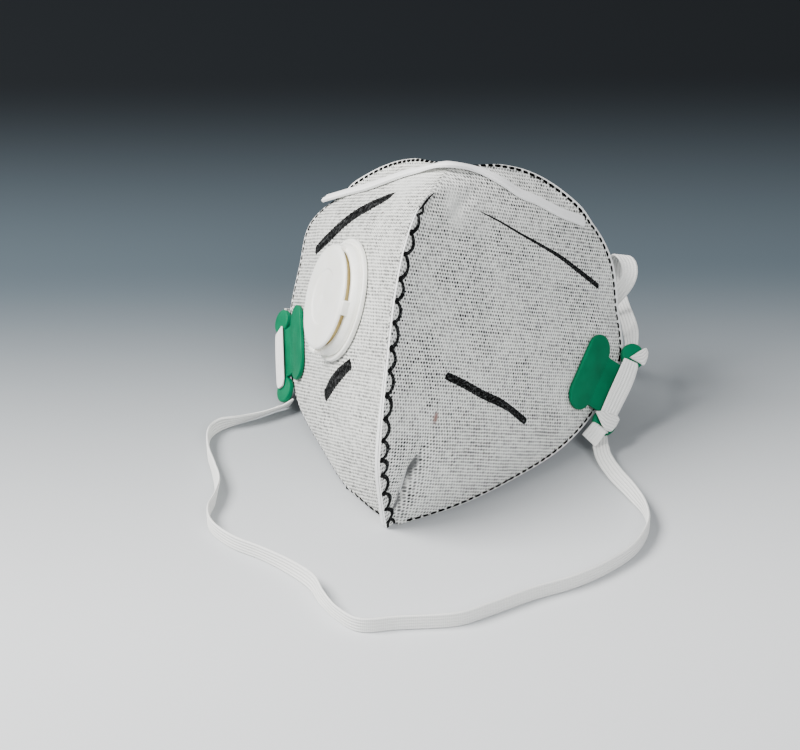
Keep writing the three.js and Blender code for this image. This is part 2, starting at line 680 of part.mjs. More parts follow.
mask.add(meshOf('band_wrap_right', wrapGeometry('right'), 'elastic'));
mask.add(meshOf('band_wrap_left', wrapGeometry('left'), 'elastic'));
mask.add(meshOf('headband_lower', bandGeometry(LOWER_BAND), 'elastic'));
mask.add(meshOf('headband_upper', bandGeometry(UPPER_BAND), 'elastic'));

const valve = new THREE.Group();
valve.applyMatrix4(VALVE_MATRIX);
valve.add(meshOf('valve_flange', turned(VALVE_PROFILES.flange), 'valve'));
valve.add(meshOf('valve_seat', seatGeometry(), 'valve'));
valve.add(meshOf('valve_flap', flapGeometry(), 'flap'));
valve.add(meshOf('valve_cover', coverGeometry(), 'valve'));
mask.add(valve);

export default mask;
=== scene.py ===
import math

import bmesh
import bpy
import numpy as np
from mathutils import Matrix, Vector


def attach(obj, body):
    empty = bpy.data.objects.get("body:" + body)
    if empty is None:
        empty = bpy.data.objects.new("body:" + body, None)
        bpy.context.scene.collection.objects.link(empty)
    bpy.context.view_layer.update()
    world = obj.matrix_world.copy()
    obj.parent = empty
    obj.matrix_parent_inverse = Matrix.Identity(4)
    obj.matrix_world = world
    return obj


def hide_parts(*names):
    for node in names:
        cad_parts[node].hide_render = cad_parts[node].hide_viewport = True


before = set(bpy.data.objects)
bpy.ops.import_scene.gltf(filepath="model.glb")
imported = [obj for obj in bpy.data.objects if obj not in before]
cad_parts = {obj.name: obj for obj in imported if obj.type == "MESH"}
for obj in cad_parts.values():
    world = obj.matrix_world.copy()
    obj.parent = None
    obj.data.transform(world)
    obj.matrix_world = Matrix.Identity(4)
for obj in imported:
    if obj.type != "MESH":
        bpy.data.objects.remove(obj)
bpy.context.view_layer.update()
scene = bpy.context.scene
MM = 0.001

# ---------- Camera, floor and lights ----------
# A studio table top: a pale plain floor with painted shade that darkens it behind the mask, one
# large soft light high on the left, a weaker one on the right, and a dim even surround.


def new_object(name, data):
    made = bpy.data.objects.new(name, data)
    scene.collection.objects.link(made)
    return made


look_at = Vector((-7.0, -10.5, 37.7)) * MM
azimuth, elevation, distance = math.radians(15.06), math.radians(32.03), 0.8
towards_camera = Vector((
    math.cos(elevation) * math.sin(azimuth),
    -math.cos(elevation) * math.cos(azimuth),
    math.sin(elevation),
))
camera_data = bpy.data.cameras.new("camera")
camera_data.sensor_width = 36
camera_data.lens = 100.8
camera = new_object("camera", camera_data)
camera.location = look_at + towards_camera * distance
camera.rotation_euler = towards_camera.to_track_quat("Z", "Y").to_euler()
scene.camera = camera


class Shader:
    """A material or node group with short calls for adding and wiring nodes."""

    def __init__(self, tree):
        self.tree = tree

    def node(self, kind, **settings):
        made = self.tree.nodes.new(kind)
        for key, value in settings.items():
            setattr(made, key, value)
        return made

    def feed(self, socket, value):
        if isinstance(value, bpy.types.NodeSocket):
            self.tree.links.new(value, socket)
        elif value is not None:
            socket.default_value = value

    def math(self, operation, *values, clamp=False):
        made = self.node("ShaderNodeMath", operation=operation, use_clamp=clamp)
        for socket, value in zip(made.inputs, values):
            self.feed(socket, value)
        return made.outputs[0]

    def plus(self, first, second):
        return self.math("ADD", first, second)

    def minus(self, first, second):
        return self.math("SUBTRACT", first, second)

    def times(self, first, second, clamp=False):
        return self.math("MULTIPLY", first, second, clamp=clamp)

    def vector(self, operation, *values):
        made = self.node("ShaderNodeVectorMath", operation=operation)
        for socket, value in zip(made.inputs, values):
            self.feed(socket, value)
        return made.outputs[0]

    def ramp(self, value, low, high, start=0.0, end=1.0):
        made = self.node("ShaderNodeMapRange", interpolation_type="SMOOTHSTEP")
        for socket, given in zip(made.inputs, (value, low, high, start, end)):
            self.feed(socket, given)
        return made.outputs[0]

    def mix(self, factor, first, second):
        made = self.node("ShaderNodeMix", data_type="RGBA")
        for key, value in ((0, factor), (6, first), (7, second)):
            self.feed(made.inputs[key], value)
        return made.outputs[2]

    def noise(self, vector, scale, detail=2.0, roughness=0.5):
        made = self.node("ShaderNodeTexNoise")
        given = {"Vector": vector, "Scale": scale, "Detail": detail, "Roughness": roughness}
        for key, value in given.items():
            self.feed(made.inputs[key], value)
        return made.outputs[0]

    def group(self, tree, **inputs):
        made = self.node("ShaderNodeGroup", node_tree=tree)
        for key, value in inputs.items():
            self.feed(made.inputs[key.replace("_", " ")], value)
        return made.outputs

    def bump(self, height, depth, strength):
        made = self.node("ShaderNodeBump")
        for key, value in (("Height", height), ("Distance", depth), ("Strength", strength)):
            self.feed(made.inputs[key], value)
        return made.outputs[0]

    def split(self, vector):
        """The X, Y and Z of a vector."""
        made = self.node("ShaderNodeSeparateXYZ")
        self.feed(made.inputs[0], vector)
        return made.outputs

    def cloth_place(self):
        """Places on a piece in the cloth's own millimetres."""
        return self.node("ShaderNodeUVMap", uv_map="cloth").outputs[0]

    def paint(self, **sockets):
        """Feeds the surface's sockets; an underscore in a name stands for a space."""
        for key, value in sockets.items():
            self.feed(self.tree.nodes["Principled BSDF"].inputs[key.replace("_", " ")], value)


def new_material(name, roughness=0.5, specular=0.5, **sockets):
    material = bpy.data.materials.new(name)
    material.use_nodes = True
    shader = Shader(material.node_tree)
    shader.paint(Roughness=roughness, Specular_IOR_Level=specular, **sockets)
    return material, shader


def rgb(red, green, blue):
    """A display colour, 0 to 255, as the linear colour that a socket holds."""
    return tuple((part / 255) ** 2.2 for part in (red, green, blue)) + (1.0,)


# How far back the painted shade turns the floor to dusk, then dark, in metres, and how that line slants.
DUSK_FROM_TO, DARK_FROM_TO, SHADE_SLANT = (-0.13, 0.15), (0.11, 0.35), -0.3
FLOOR_CORNERS = [(-4, -3, 0), (4, -3, 0), (4, 5, 0), (-4, 5, 0)]
floor_material, floor = new_material("studio_floor", roughness=0.75, specular=0.2)
floor_place = floor.node("ShaderNodeTexCoord").outputs["Object"]
floor_across, floor_back = floor.split(floor_place)[:2]
floor_reach = floor.math("MULTIPLY_ADD", floor_across, SHADE_SLANT, floor_back)
floor_dusk = floor.ramp(floor_reach, *DUSK_FROM_TO)
floor_dark = floor.ramp(floor_reach, *DARK_FROM_TO)
floor_grain = floor.noise(floor_place, 900.0, 3.0)
floor_specks = floor.times(floor_grain, 0.05)
floor_pale = floor.mix(floor_specks, rgb(212, 214, 216), rgb(160, 163, 166))
# Painted shade: the floor's colour goes to dim blue-grey, then near black, towards the back.
shaded_floor_colour = floor.mix(floor_dusk, floor_pale, rgb(74, 84, 91))
floor.paint(Base_Color=floor.mix(floor_dark, shaded_floor_colour, rgb(17, 21, 25)))
floor_mesh = bpy.data.meshes.new("studio_floor")
floor_mesh.from_pydata(FLOOR_CORNERS, [], [(0, 1, 2, 3)])
floor_mesh.materials.append(floor_material)
floor_object = new_object("studio_floor", floor_mesh)

LIGHTS_AIM = (0, 0, 0.05)


def soft_light(name, place, size, power, colour):
    data = bpy.data.lights.new(name, "AREA")
    data.shape = "SQUARE"
    data.size = size
    data.energy = power
    data.color = colour
    light = new_object(name, data)
    light.location = place
    light.rotation_euler = (Vector(place) - Vector(LIGHTS_AIM)).to_track_quat("Z", "Y").to_euler()


soft_light("key_light", (-0.75, -0.35, 1.0), size=0.6, power=41.0, colour=(1.0, 0.99, 0.97))
soft_light("fill_light", (0.75, -0.85, 0.95), size=0.6, power=13.0, colour=(0.98, 0.99, 1.0))
scene.world = bpy.data.worlds.new("surround")
scene.world.use_nodes = True
surround = scene.world.node_tree.nodes["Background"].inputs
surround["Color"].default_value = (0.87, 0.90, 0.93, 1)
surround["Strength"].default_value = 0.32

# ---------- Headbands ----------
# Two runs of flat white knitted elastic, 6 mm wide, with lengthwise ribs, from clip to clip. The
# lower run lies on the floor on its edge; the upper one rises in a loop beside the right clip and
# comes down to the floor behind the mask.

BAND_WIDTH, BAND_THICKNESS = 6.0, 1.0
RIBS, RIB_HEIGHT = 5, 0.06
COURSE_PITCH = 0.62
UPRIGHT = (0, 0, 1)
# Each row is the middle of the band and the direction of its width.
LOWER_BAND = [
    ((-59.2, 8.9, 3), (0.55, -0.5, 0.67)), ((-65, 2.5, 3), (0.5, -0.45, 0.74)),
    ((-72, -3.5, 3), (0.35, -0.3, 0.9)),
    ((-77.5, -8.5, 3), UPRIGHT), ((-79, -15.5, 3), UPRIGHT), ((-75.5, -26, 3), UPRIGHT),
    ((-70, -36, 3), (0.1, 0.1, 1)), ((-65.5, -45, 3), (0.25, 0.15, 1)), ((-63.5, -54, 3), (0.1, 0, 1)),
    ((-63, -62, 3), UPRIGHT), ((-59, -70, 3), UPRIGHT), ((-49.5, -76.5, 3), UPRIGHT),
    ((-37, -80.5, 3), UPRIGHT), ((-25.5, -85.5, 3), (0.1, 0.15, 1)), ((-16, -91.5, 3), (0.15, 0.3, 1)),
    ((-10, -99, 3), (0.1, 0.15, 1)), ((-3, -105.5, 3), UPRIGHT), ((6, -109.5, 3), UPRIGHT),
    ((18, -105, 3), UPRIGHT), ((35.5, -98.5, 3), UPRIGHT), ((45, -90.5, 3), UPRIGHT),
    ((57, -78.5, 3), UPRIGHT), ((70, -67.5, 3), UPRIGHT), ((79.5, -56, 3), UPRIGHT),
    ((86, -44, 3), UPRIGHT), ((88, -31, 3), UPRIGHT), ((85.5, -21, 3), (0.05, 0.05, 1)),
    ((79, -11.5, 3), (0.35, 0.3, 0.9)), ((71, -1.5, 2.9), (0.6, 0.45, 0.65)),
    ((65.5, 6.5, 3.6), (0.73, 0.45, 0.47)), ((63, 12.4, 4.5), (0.75, 0.3, 0.1)),
]
UPPER_BAND = [
    ((66.8, 47.5, 28.5), (0.8, 0.3, -0.5)), ((65.4, 53, 30.6), (0.8, 0.1, 0.05)),
    ((63, 58.5, 32.7), (0.72, -0.05, 0.45)), ((60, 63.5, 35.1), (0.74, 0.1, 0.5)),
    ((57.5, 67, 38.5), (0.86, 0.3, 0.3)), ((55.9, 69, 42.8), (0.95, 0.35, 0.1)),
    ((55.5, 68.5, 48.6), (1, 0.3, 0)), ((56.9, 65.5, 54.3), (1, 0.3, -0.1)),
    ((59.5, 62, 56.8), (1, 0.2, -0.15)), ((62.1, 59.5, 55.7), (0.95, 0.1, -0.3)),
    ((63, 57.8, 52.5), (0.92, 0, -0.4)), ((61.9, 57.5, 48.3), (0.91, 0, -0.42)),
    ((59.6, 58, 43.8), (0.91, 0, -0.42)), ((56.3, 59.2, 38.5), (0.9, 0, -0.42)),
    ((52.2, 61, 31.8), (0.9, 0.05, -0.3)), ((48.5, 69, 18), (0.7, 0.1, 0.6)),
    ((43, 76, 8), (0.3, 0.2, 0.9)), ((36, 80, 4), UPRIGHT), ((27, 83.6, 3), UPRIGHT),
    ((14, 87, 3), UPRIGHT), ((0, 88, 3), UPRIGHT), ((-20, 86, 3), UPRIGHT),
    ((-37, 80, 3.3), UPRIGHT), ((-53, 68, 7), (-0.3, 0.1, 0.9)), ((-61, 57, 14), (-0.6, 0.2, 0.7)),
    ((-65, 49.2, 19.4), (-0.65, 0.25, 0.68)), ((-66.9, 45, 22), (-0.68, 0.26, 0.68)),
]


def unit(vectors):
    return vectors / np.maximum(np.linalg.norm(vectors, axis=-1, keepdims=True), 1e-9)


def dot(first, second):
    return np.sum(first * second, axis=-1, keepdims=True)


def through(points, places):
    """Points on a smooth curve through a table's rows; a place counts rows from 0."""
    points = np.asarray(points, float)
    ends = np.vstack([2 * points[0] - points[1], points, 2 * points[-1] - points[-2]])
    row = np.minimum(places.astype(int), len(points) - 2)
    part = (places - row)[:, None]
    before, start, end, after = ends[row], ends[row + 1], ends[row + 2], ends[row + 3]
    return 0.5 * (
        2 * start + (end - before) * part
        + (2 * before - 5 * start + 4 * end - after) * part ** 2
        + (3 * start - before - 3 * end + after) * part ** 3
    )


def run_along(points):
    """The distance run at each point of a line."""
    return np.concatenate([[0], np.cumsum(np.linalg.norm(np.diff(points, axis=0), axis=1))])


def even_places(points, step):
    """Places along the curve through a table's rows, step millimetres apart."""
    fine = np.linspace(0, len(points) - 1, 40 * len(points))
    line = through(points, fine)
    run = run_along(line)
    count = max(2, round(run[-1] / step))
    return np.interp(np.linspace(0, run[-1], count + 1), run, fine), run[-1]


def new_piece(name, points, faces, materials, uv=None, face_slots=None, sharp_angle=40):
    """A mesh object from points in millimetres, smooth but for edges sharper than the angle."""
    mesh = bpy.data.meshes.new(name)
    mesh.from_pydata((np.asarray(points) * MM).tolist(), [], faces)
    if uv is not None:
        loops = np.zeros(len(mesh.loops), dtype=np.int32)
        mesh.loops.foreach_get("vertex_index", loops)
        layer = mesh.uv_layers.new(name="cloth")
        layer.data.foreach_set("uv", np.asarray(uv, float)[loops].ravel())
    for material in materials:
        mesh.materials.append(material)
    if face_slots is not None:
        mesh.polygons.foreach_set("material_index", np.asarray(face_slots, dtype=np.int32))
    mesh.shade_smooth()
    mesh.set_sharp_from_angle(angle=math.radians(sharp_angle))
    mesh.validate()
    return new_object(name, mesh)


def tube_faces(rows, ring):
    """Quads round a row of closed rings, with a face over each end."""
    start = np.arange(rows - 1)[:, None] * ring
    here = np.arange(ring)[None, :]
    turn = (here + 1) % ring
    quads = np.stack([start + here, start + turn, start + ring + turn, start + ring + here], axis=-1)
    ends = [tuple(range(ring - 1, -1, -1)), tuple((rows - 1) * ring + k for k in range(ring))]
    return quads.reshape(-1, 4).tolist() + ends


def outward(piece):
    """Turns a closed mesh's faces outwards if they point in."""
    solid = bmesh.new()
    solid.from_mesh(piece.data)
    if solid.calc_volume(signed=True) < 0:
        bmesh.ops.reverse_faces(solid, faces=solid.faces)
        solid.to_mesh(piece.data)
    solid.free()


def tube_piece(name, rings, material, around, run):
    """A closed tube over rows of rings, with its cloth places round the rings and along the run."""
    uv = np.stack(np.broadcast_arrays(around, run[:, None]), axis=-1).reshape(-1, 2)
    piece = new_piece(name, rings.reshape(-1, 3), tube_faces(*rings.shape[:2]), [material], uv)
    outward(piece)
    return piece


def band_section():
    """Half outlines of the elastic, (across, rise): a rounded edge and shallow ribs."""
    across = np.linspace(-1, 1, 31)
    edge = np.sqrt(np.clip(1 - np.abs(across) ** 9, 0.02, 1))
    rib = RIB_HEIGHT * np.cos(across * math.pi * RIBS)
    return across * BAND_WIDTH / 2, (BAND_THICKNESS / 2 - RIB_HEIGHT) * edge + rib * edge


def band_piece(name, middle, across, crown=0.0, under_share=1.0):
    """A knitted band along points; across reaches from one edge to the other at each point."""
    facing = unit(np.cross(across, unit(np.gradient(middle, axis=0))))[:, None]
    side, rise = band_section()
    share = side / BAND_WIDTH
    flat = middle[:, None] + across[:, None] * share[:, None]
    top = flat + facing * (rise + crown * (1 - (2 * share) ** 2))[:, None]
    under = flat - facing * (rise * under_share)[:, None]
    around = share * np.linalg.norm(across, axis=1, keepdims=True)
    return tube_piece(name, np.concatenate([top, under[:, ::-1]], axis=1), elastic,
                      np.concatenate([around, around[:, ::-1] + 2 * BAND_WIDTH], axis=1),
                      run_along(middle))


def knitted_elastic():
    """White knit: soft lengthwise ribs crossed by fine courses of yarn, with painted shade in their
    grooves.
    """
    material, knit = new_material("knitted_elastic", roughness=0.85, specular=0.2, Sheen_Weight=0.25)
    place = knit.cloth_place()
    across, along = knit.split(place)[:2]
    rib = knit.math("COSINE", knit.times(across, 2 * math.pi * RIBS / BAND_WIDTH))
    slant = knit.plus(along, knit.times(knit.math("ABSOLUTE", rib), 0.18))
    course = knit.math("SINE", knit.times(slant, 2 * math.pi / COURSE_PITCH))
    yarn = knit.noise(place, 3.5, 4.0, 0.6)
    inner_side = knit.math("GREATER_THAN", across, 1.25 * BAND_WIDTH)
    ribbed = knit.minus(1.0, knit.times(inner_side, 0.8))
    # Painted shade: the grooves between the ribs, weaker on the inner face, and between the courses are
    # painted darker.
    groove_shade = knit.times(knit.ramp(rib, -1.0, -0.45, 1.0, 0.0), ribbed)
    tone = knit.plus(knit.times(groove_shade, 0.5), knit.times(yarn, 0.35))
    tone = knit.plus(tone, knit.ramp(course, -1.0, -0.2, 0.26, 0.0))
    knit.paint(Base_Color=knit.mix(tone, rgb(252, 252, 249), rgb(186, 186, 183)))
    height = knit.plus(knit.times(rib, 0.6), knit.times(course, 0.25))
    height = knit.plus(height, knit.times(yarn, 0.5))
    knit.paint(Normal=knit.bump(height, 0.00012, 0.8))
    return material


elastic = knitted_elastic()


def headband(name, route, node):
    middles = [row[0] for row in route]
    places, length = even_places(middles, 1.5)
    middle = through(middles, places)
    tangent = unit(np.gradient(middle, axis=0))
    width = through([row[1] for row in route], places)
    piece = band_piece(name, middle, unit(width - tangent * dot(width, tangent)) * BAND_WIDTH)
    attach(piece, "root")
    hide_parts(node)


headband("lower_elastic", LOWER_BAND, "headband_lower")
headband("upper_elastic", UPPER_BAND, "headband_upper")

# ---------- Cloth panels ----------
# Two panels of grey-white non-woven in layers, bonded by rows of fine dots, and welded to each
# other along the front seam, so that both edges stand out as a fin that leans to the left.

SEAM_LENGTH = 154.0
SWELL = (0.02, 0.03)
FIN_WIDTH, FIN_WIDTH_NOSE, FIN_LAYER, FIN_LEAN = 3.8, 0.3, 1.1, math.radians(33)
FIN_FADE = (0.80, 0.90)
GAP = 0.3
WALL, RIM_WALL, RIM_TAPER = 1.6, 0.9, 7.0
SIGN = {"right": 1, "left": -1}
# Rows from chin to nose: the seam's cut edge, then the right and the left rim.
SECTIONS = np.array([
    ((-1.6, -51.5, 0.8), (2.7, -48.8, 0.3), (-2.8, -47.2, 0.5)),
    ((-1.9, -55.5, 16), (21, -32.5, 1), (-20.5, -32.5, 1)),
    ((-1.9, -58.5, 31), (37, -12.5, 2.5), (-36.5, -12, 2.5)),
    ((-1.3, -57.5, 46), (50, 7.5, 5), (-50, 6.5, 5)),
    ((-1.3, -52.5, 60.5), (59, 26.5, 12), (-60, 25, 10.5)),
    ((-1.9, -44.5, 74), (64.5, 42, 24), (-65, 41, 23)),
    ((-2.6, -34.5, 86), (60.5, 52.5, 39.5), (-64, 52, 40)),
    ((-2.5, -23.5, 97), (56, 57, 58.5), (-60, 56, 58)),
    ((-1, -10.5, 105.5), (45.5, 54, 77), (-43.5, 54.5, 75)),
    ((2, 4, 107.5), (26.5, 44.5, 95), (-23, 44, 92.5)),
    ((2.5, 19.5, 106.9), (3.8, 23.2, 107), (0.6, 23.4, 107.3)),
])
# Dents: panel, across and along the seam in millimetres, turn, half length, half width, depth.
DENTS = [
    ("right", 9, 24, 67, 17, 3.5, 2.0), ("right", 8.5, 22, 67, 17, 1.1, 1.7),
    ("right", 41, 40, 90, 12, 5, 0.8), ("right", 37, 100, 110, 22, 4, 0.6),
    ("right", 36, 38, 80, 13, 2.2, 0.35), ("right", 15, 127, 60, 10, 3, 0.5),
    ("left", 50, 44, 24, 12, 4, 1.0),
]
# The rims turn up beside the nose: height, width of the turned edge, and where along the seam.
TURN_UP, TURN_WIDTH, TURN_START, TURN_END = 1.7, 5.5, (0.77, 0.82), (0.94, 0.985)
# The pressed flats: the valve's place on the left panel, and each clip's plate.
VALVE_PLACE = (0.557, 0.433)
VALVE_FLAT = (23, 34)
CLIPS = {
    "right": dict(at=(54.5, 25, 27.7), along=(6.3, 24.6, 17.6), facing=(0.87, -0.42, 0.25),
                  bend=25, reach=7.5),
    "left": dict(at=(-55, 22.9, 24.2), along=(-8.3, 24.9, 17.5), facing=(-0.85, -0.46, 0.24),
                 bend=14, reach=6.5),
}
CLIP_FLAT = (17, 8, 1.8)
RIPPLE_HEIGHT = 0.16


def smooth_step(value, low, high):
    share = np.clip((value - low) / (high - low), 0, 1)
    return share * share * (3 - 2 * share)


def edge_line(edge, t):
    column = {"seam": 0, "right": 1, "left": 2}[edge]
    return through(SECTIONS[:, column], np.clip(t, 0, 1) * (len(SECTIONS) - 1))


def edge_slope(edge, t):
    step = 1e-3
    return (edge_line(edge, np.minimum(t + step, 1)) - edge_line(edge, np.maximum(t - step, 0)))


def seam_frame(t):
    """The fin's outward and across directions, its cut edge and its foot."""
    along = unit(edge_slope("seam", t))
    sideways = np.array([1.0, 0, 0])
    sideways = unit(sideways - along * dot(along, sideways))
    forward = unit(np.cross(sideways, along))
    fade = (1 - smooth_step(t, *FIN_FADE))[:, None]
    lean = FIN_LEAN * fade
    out = forward * np.cos(lean) - sideways * np.sin(lean)
    across = sideways * np.cos(lean) + forward * np.sin(lean)
    tip = edge_line("seam", t)
    return out, across, tip, tip - out * (FIN_WIDTH_NOSE + (FIN_WIDTH - FIN_WIDTH_NOSE) * fade)


def plain_cloth(panel, t, u):
    _, across, _, root = seam_frame(t)
    start = root + across * SIGN[panel] * (GAP / 2 + FIN_LAYER)
    rim = edge_line(panel, t)
    chord = rim - start
    swell = unit(np.cross(chord, edge_slope("seam", t) + edge_slope(panel, t))) * SIGN[panel]
    width = np.linalg.norm(chord, axis=1, keepdims=True)
    first = start + chord / 3 + swell * width * SWELL[0]
    second = start + chord * 2 / 3 + swell * width * SWELL[1]
    u = u[:, None]
    v = 1 - u
    point = v ** 3 * start + 3 * v ** 2 * u * first + 3 * v * u ** 2 * second + u ** 3 * rim
    return point, swell, width


def one(value):
    return np.array([float(value)])


def facing_of(panel, t, u, surface):
    step = 0.004
    across = surface(panel, t, np.minimum(u + step, 1)) - surface(panel, t, np.maximum(u - step, 0))
    along = surface(panel, np.minimum(t + step, 1), u) - surface(panel, np.maximum(t - step, 0), u)
    return unit(np.cross(across, along)) * SIGN[panel]


def plain_point(panel, t, u):
    return plain_cloth(panel, t, u)[0]


valve_at = plain_point("left", one(VALVE_PLACE[0]), one(VALVE_PLACE[1]))[0]
valve_facing = facing_of("left", one(VALVE_PLACE[0]), one(VALVE_PLACE[1]), plain_point)[0]


def clip_axes(side):
    """A clip's long axis, the way out past the rim, and the way it faces."""
    along = unit(np.array(CLIPS[side]["along"], float))
    facing = np.array(CLIPS[side]["facing"], float)
    facing = unit(facing - along * np.dot(along, facing))
    return along, np.cross(along, facing) * SIGN[side], facing


def cloth(panel, t, u):
    """Points on the outer face of a panel, with its dents and pressed flats."""
    point, swell, width = plain_cloth(panel, t, u)
    x, y = u * width[:, 0], t * SEAM_LENGTH
    for which, across, along, turn, half_length, half_width, depth in DENTS:
        if which == panel:
            turn = math.radians(turn)
            lengthwise = ((x - across) * math.cos(turn) + (y - along) * math.sin(turn)) / half_length
            crosswise = ((y - along) * math.cos(turn) - (x - across) * math.sin(turn)) / half_width
            point = point - swell * (depth * np.exp(-lengthwise ** 2 - crosswise ** 2))[:, None]
    ripple = np.sin(x / 9.1 + 2.1 * np.sin(y / 17.3)) * np.sin(y / 12.7 + 1.3 * np.sin(x / 14.9))
    ripple = RIPPLE_HEIGHT * ripple
    ripple = ripple * smooth_step(x, 3, 12) * (1 - smooth_step(u, 0.85, 1.0))
    turned_up = TURN_UP * smooth_step(t, *TURN_START) * (1 - smooth_step(t, *TURN_END))
    turned_up = turned_up * smooth_step((1 - u) * width[:, 0], TURN_WIDTH, 0)
    point = point + swell * (ripple + turned_up)[:, None]
    if panel == "left":
        flat = 1 - smooth_step(np.linalg.norm(point - valve_at, axis=1), *VALVE_FLAT)
        point = point - valve_facing * dot(point - valve_at, valve_facing) * flat[:, None]
    along, out, facing = clip_axes(panel)
    offset = point - np.array(CLIPS[panel]["at"])
    reach = np.hypot(dot(offset, along) / CLIP_FLAT[0], dot(offset, out) / CLIP_FLAT[1])
    return point - facing * dot(offset, facing) * (1 - smooth_step(reach, 1, CLIP_FLAT[2]))


def row_direction(panel):
    """The way the rows of bonding dots run: square to the middle of the seam, in the panel."""
    facing = facing_of(panel, one(0.45), one(0.5), plain_point)[0]
    rows = np.cross(facing, edge_slope("seam", one(0.45))[0])
    return unit(rows) * SIGN[panel] * -1, facing


def cloth_uv(panel, points):
    rows, facing = row_direction(panel)
    return np.stack([points @ rows, points @ unit(np.cross(facing, rows))], axis=-1)


# The bonding dots: their pitch both ways and their radius in millimetres, then how far they
# stray and how far each row is shifted, as shares of the pitch.
DOT_PITCH, DOT_RADIUS, DOT_STRAY, ROW_SHIFT = 1.22, 0.43, 0.1, 0.37


def bonded_dots_group():
    """Staggered rows of small melted dots: a mask of the dots and a tone for each one."""
    group = bpy.data.node_groups.new("bonded_dots", "ShaderNodeTree")
    for name, kind, value in (("Place", "Vector", None), ("Across", "Float", DOT_PITCH),
                              ("Rows", "Float", DOT_PITCH), ("Dot", "Float", DOT_RADIUS),
                              ("Stray", "Float", DOT_STRAY)):
        socket = group.interface.new_socket(name, in_out="INPUT", socket_type=f"NodeSocket{kind}")
        if value is not None:
            socket.default_value = value
    for name in ("Mask", "Tone"):
        group.interface.new_socket(name, in_out="OUTPUT", socket_type="NodeSocketFloat")
    dots = Shader(group)
    given = dots.node("NodeGroupInput").outputs
    across, along = dots.split(given["Place"])[:2]
    y = dots.math("DIVIDE", along, given["Rows"])
    row = dots.math("FLOOR", y)
    stagger = dots.math("FRACT", dots.times(row, ROW_SHIFT))
    x = dots.plus(dots.math("DIVIDE", across, given["Across"]), stagger)
    column = dots.math("FLOOR", x)
    cell = dots.node("ShaderNodeCombineXYZ")
    dots.feed(cell.inputs[0], column)
    dots.feed(cell.inputs[1], row)
    chance = dots.node("ShaderNodeTexWhiteNoise", noise_dimensions="2D")
    dots.feed(chance.inputs["Vector"], cell.outputs[0])
    stray = dots.split(chance.outputs["Color"])
    off = []
    for value, base, shift, pitch in ((x, column, 0, "Across"), (y, row, 1, "Rows")):
        centre = dots.plus(base, 0.5)
        jitter = dots.times(dots.minus(stray[shift], 0.5), given["Stray"])
        gap = dots.minus(value, dots.plus(centre, jitter))
        off.append(dots.times(gap, given[pitch]))
    squares = dots.plus(dots.math("POWER", off[0], 2.0), dots.math("POWER", off[1], 2.0))
    reach = dots.math("SQRT", squares)
    size = dots.times(given["Dot"], dots.plus(dots.times(stray[2], 0.5), 0.75))
    end = dots.node("NodeGroupOutput")
    dots.feed(end.inputs["Mask"], dots.ramp(dots.math("DIVIDE", reach, size), 0.65, 1.25, 1.0, 0.0))
    dots.feed(end.inputs["Tone"], chance.outputs["Value"])
    return group


bonded_dots = bonded_dots_group()


def nonwoven(name, light, shade, dot_colour, dot_strength, stains_and_shadow=()):
    """Non-woven cloth: pale matt fibres with rows of dark pinprick bonds, a few stains and patches of
    painted shadow.
    """
    material, felt = new_material(name, roughness=0.95, specular=0.15, Sheen_Weight=0.15)
    place = felt.cloth_place()
    wander = felt.node("ShaderNodeTexNoise")
    felt.feed(wander.inputs["Vector"], place)
    felt.feed(wander.inputs["Scale"], 0.09)
    drift = felt.vector("SUBTRACT", wander.outputs["Color"], (0.5, 0.5, 0.5))
    warp = felt.vector("MULTIPLY", drift, (0.6, 0.6, 0))
    mask, tone = felt.group(bonded_dots, Place=felt.vector("ADD", place, warp))[:2]
    fibre = felt.noise(place, 2.6, 5.0, 0.65)
    cloud = felt.noise(place, 0.05, 3.0, 0.6)
    clear = felt.ramp(cloud, 0.35, 0.62, 0.72, 1.0)
    ground = felt.mix(felt.ramp(fibre, 0.30, 0.70), shade, light)
    ground = felt.mix(felt.times(felt.ramp(cloud, 0.3, 0.75), 0.16), ground, shade)
    strength = felt.times(felt.times(mask, clear), dot_strength)
    each_dot = felt.plus(felt.times(tone, 0.35), 0.75)
    strength = felt.times(strength, each_dot, clamp=True)
    colour = felt.mix(strength, ground, dot_colour)
    # The patches, stains and painted shadow alike, are mixed in with a ragged edge.
    for centre, halves, patch_colour, depth in stains_and_shadow:
        away = felt.vector("DIVIDE", felt.vector("SUBTRACT", place, (*centre, 0)), (*halves, 1))
        away = felt.vector("ADD", away, felt.vector("MULTIPLY", wander.outputs["Color"], (0.02, 0.02, 0)))
        spread = felt.node("ShaderNodeVectorMath", operation="LENGTH")
        felt.feed(spread.inputs[0], away)
        ragged = felt.plus(spread.outputs["Value"], felt.times(fibre, 0.9))
        colour = felt.mix(felt.ramp(ragged, 0.75, 1.6, depth, 0.0), colour, patch_colour)
    felt.paint(Base_Color=colour)
    height = felt.minus(felt.times(fibre, 0.6), mask)
    felt.paint(Normal=felt.bump(height, 0.0002, 0.8))
    return material


def place_on(panel, t, u):
    """A place on a panel in the cloth's own millimetres."""
    return tuple(float(value) for value in cloth_uv(panel, cloth(panel, one(t), one(u)))[0])


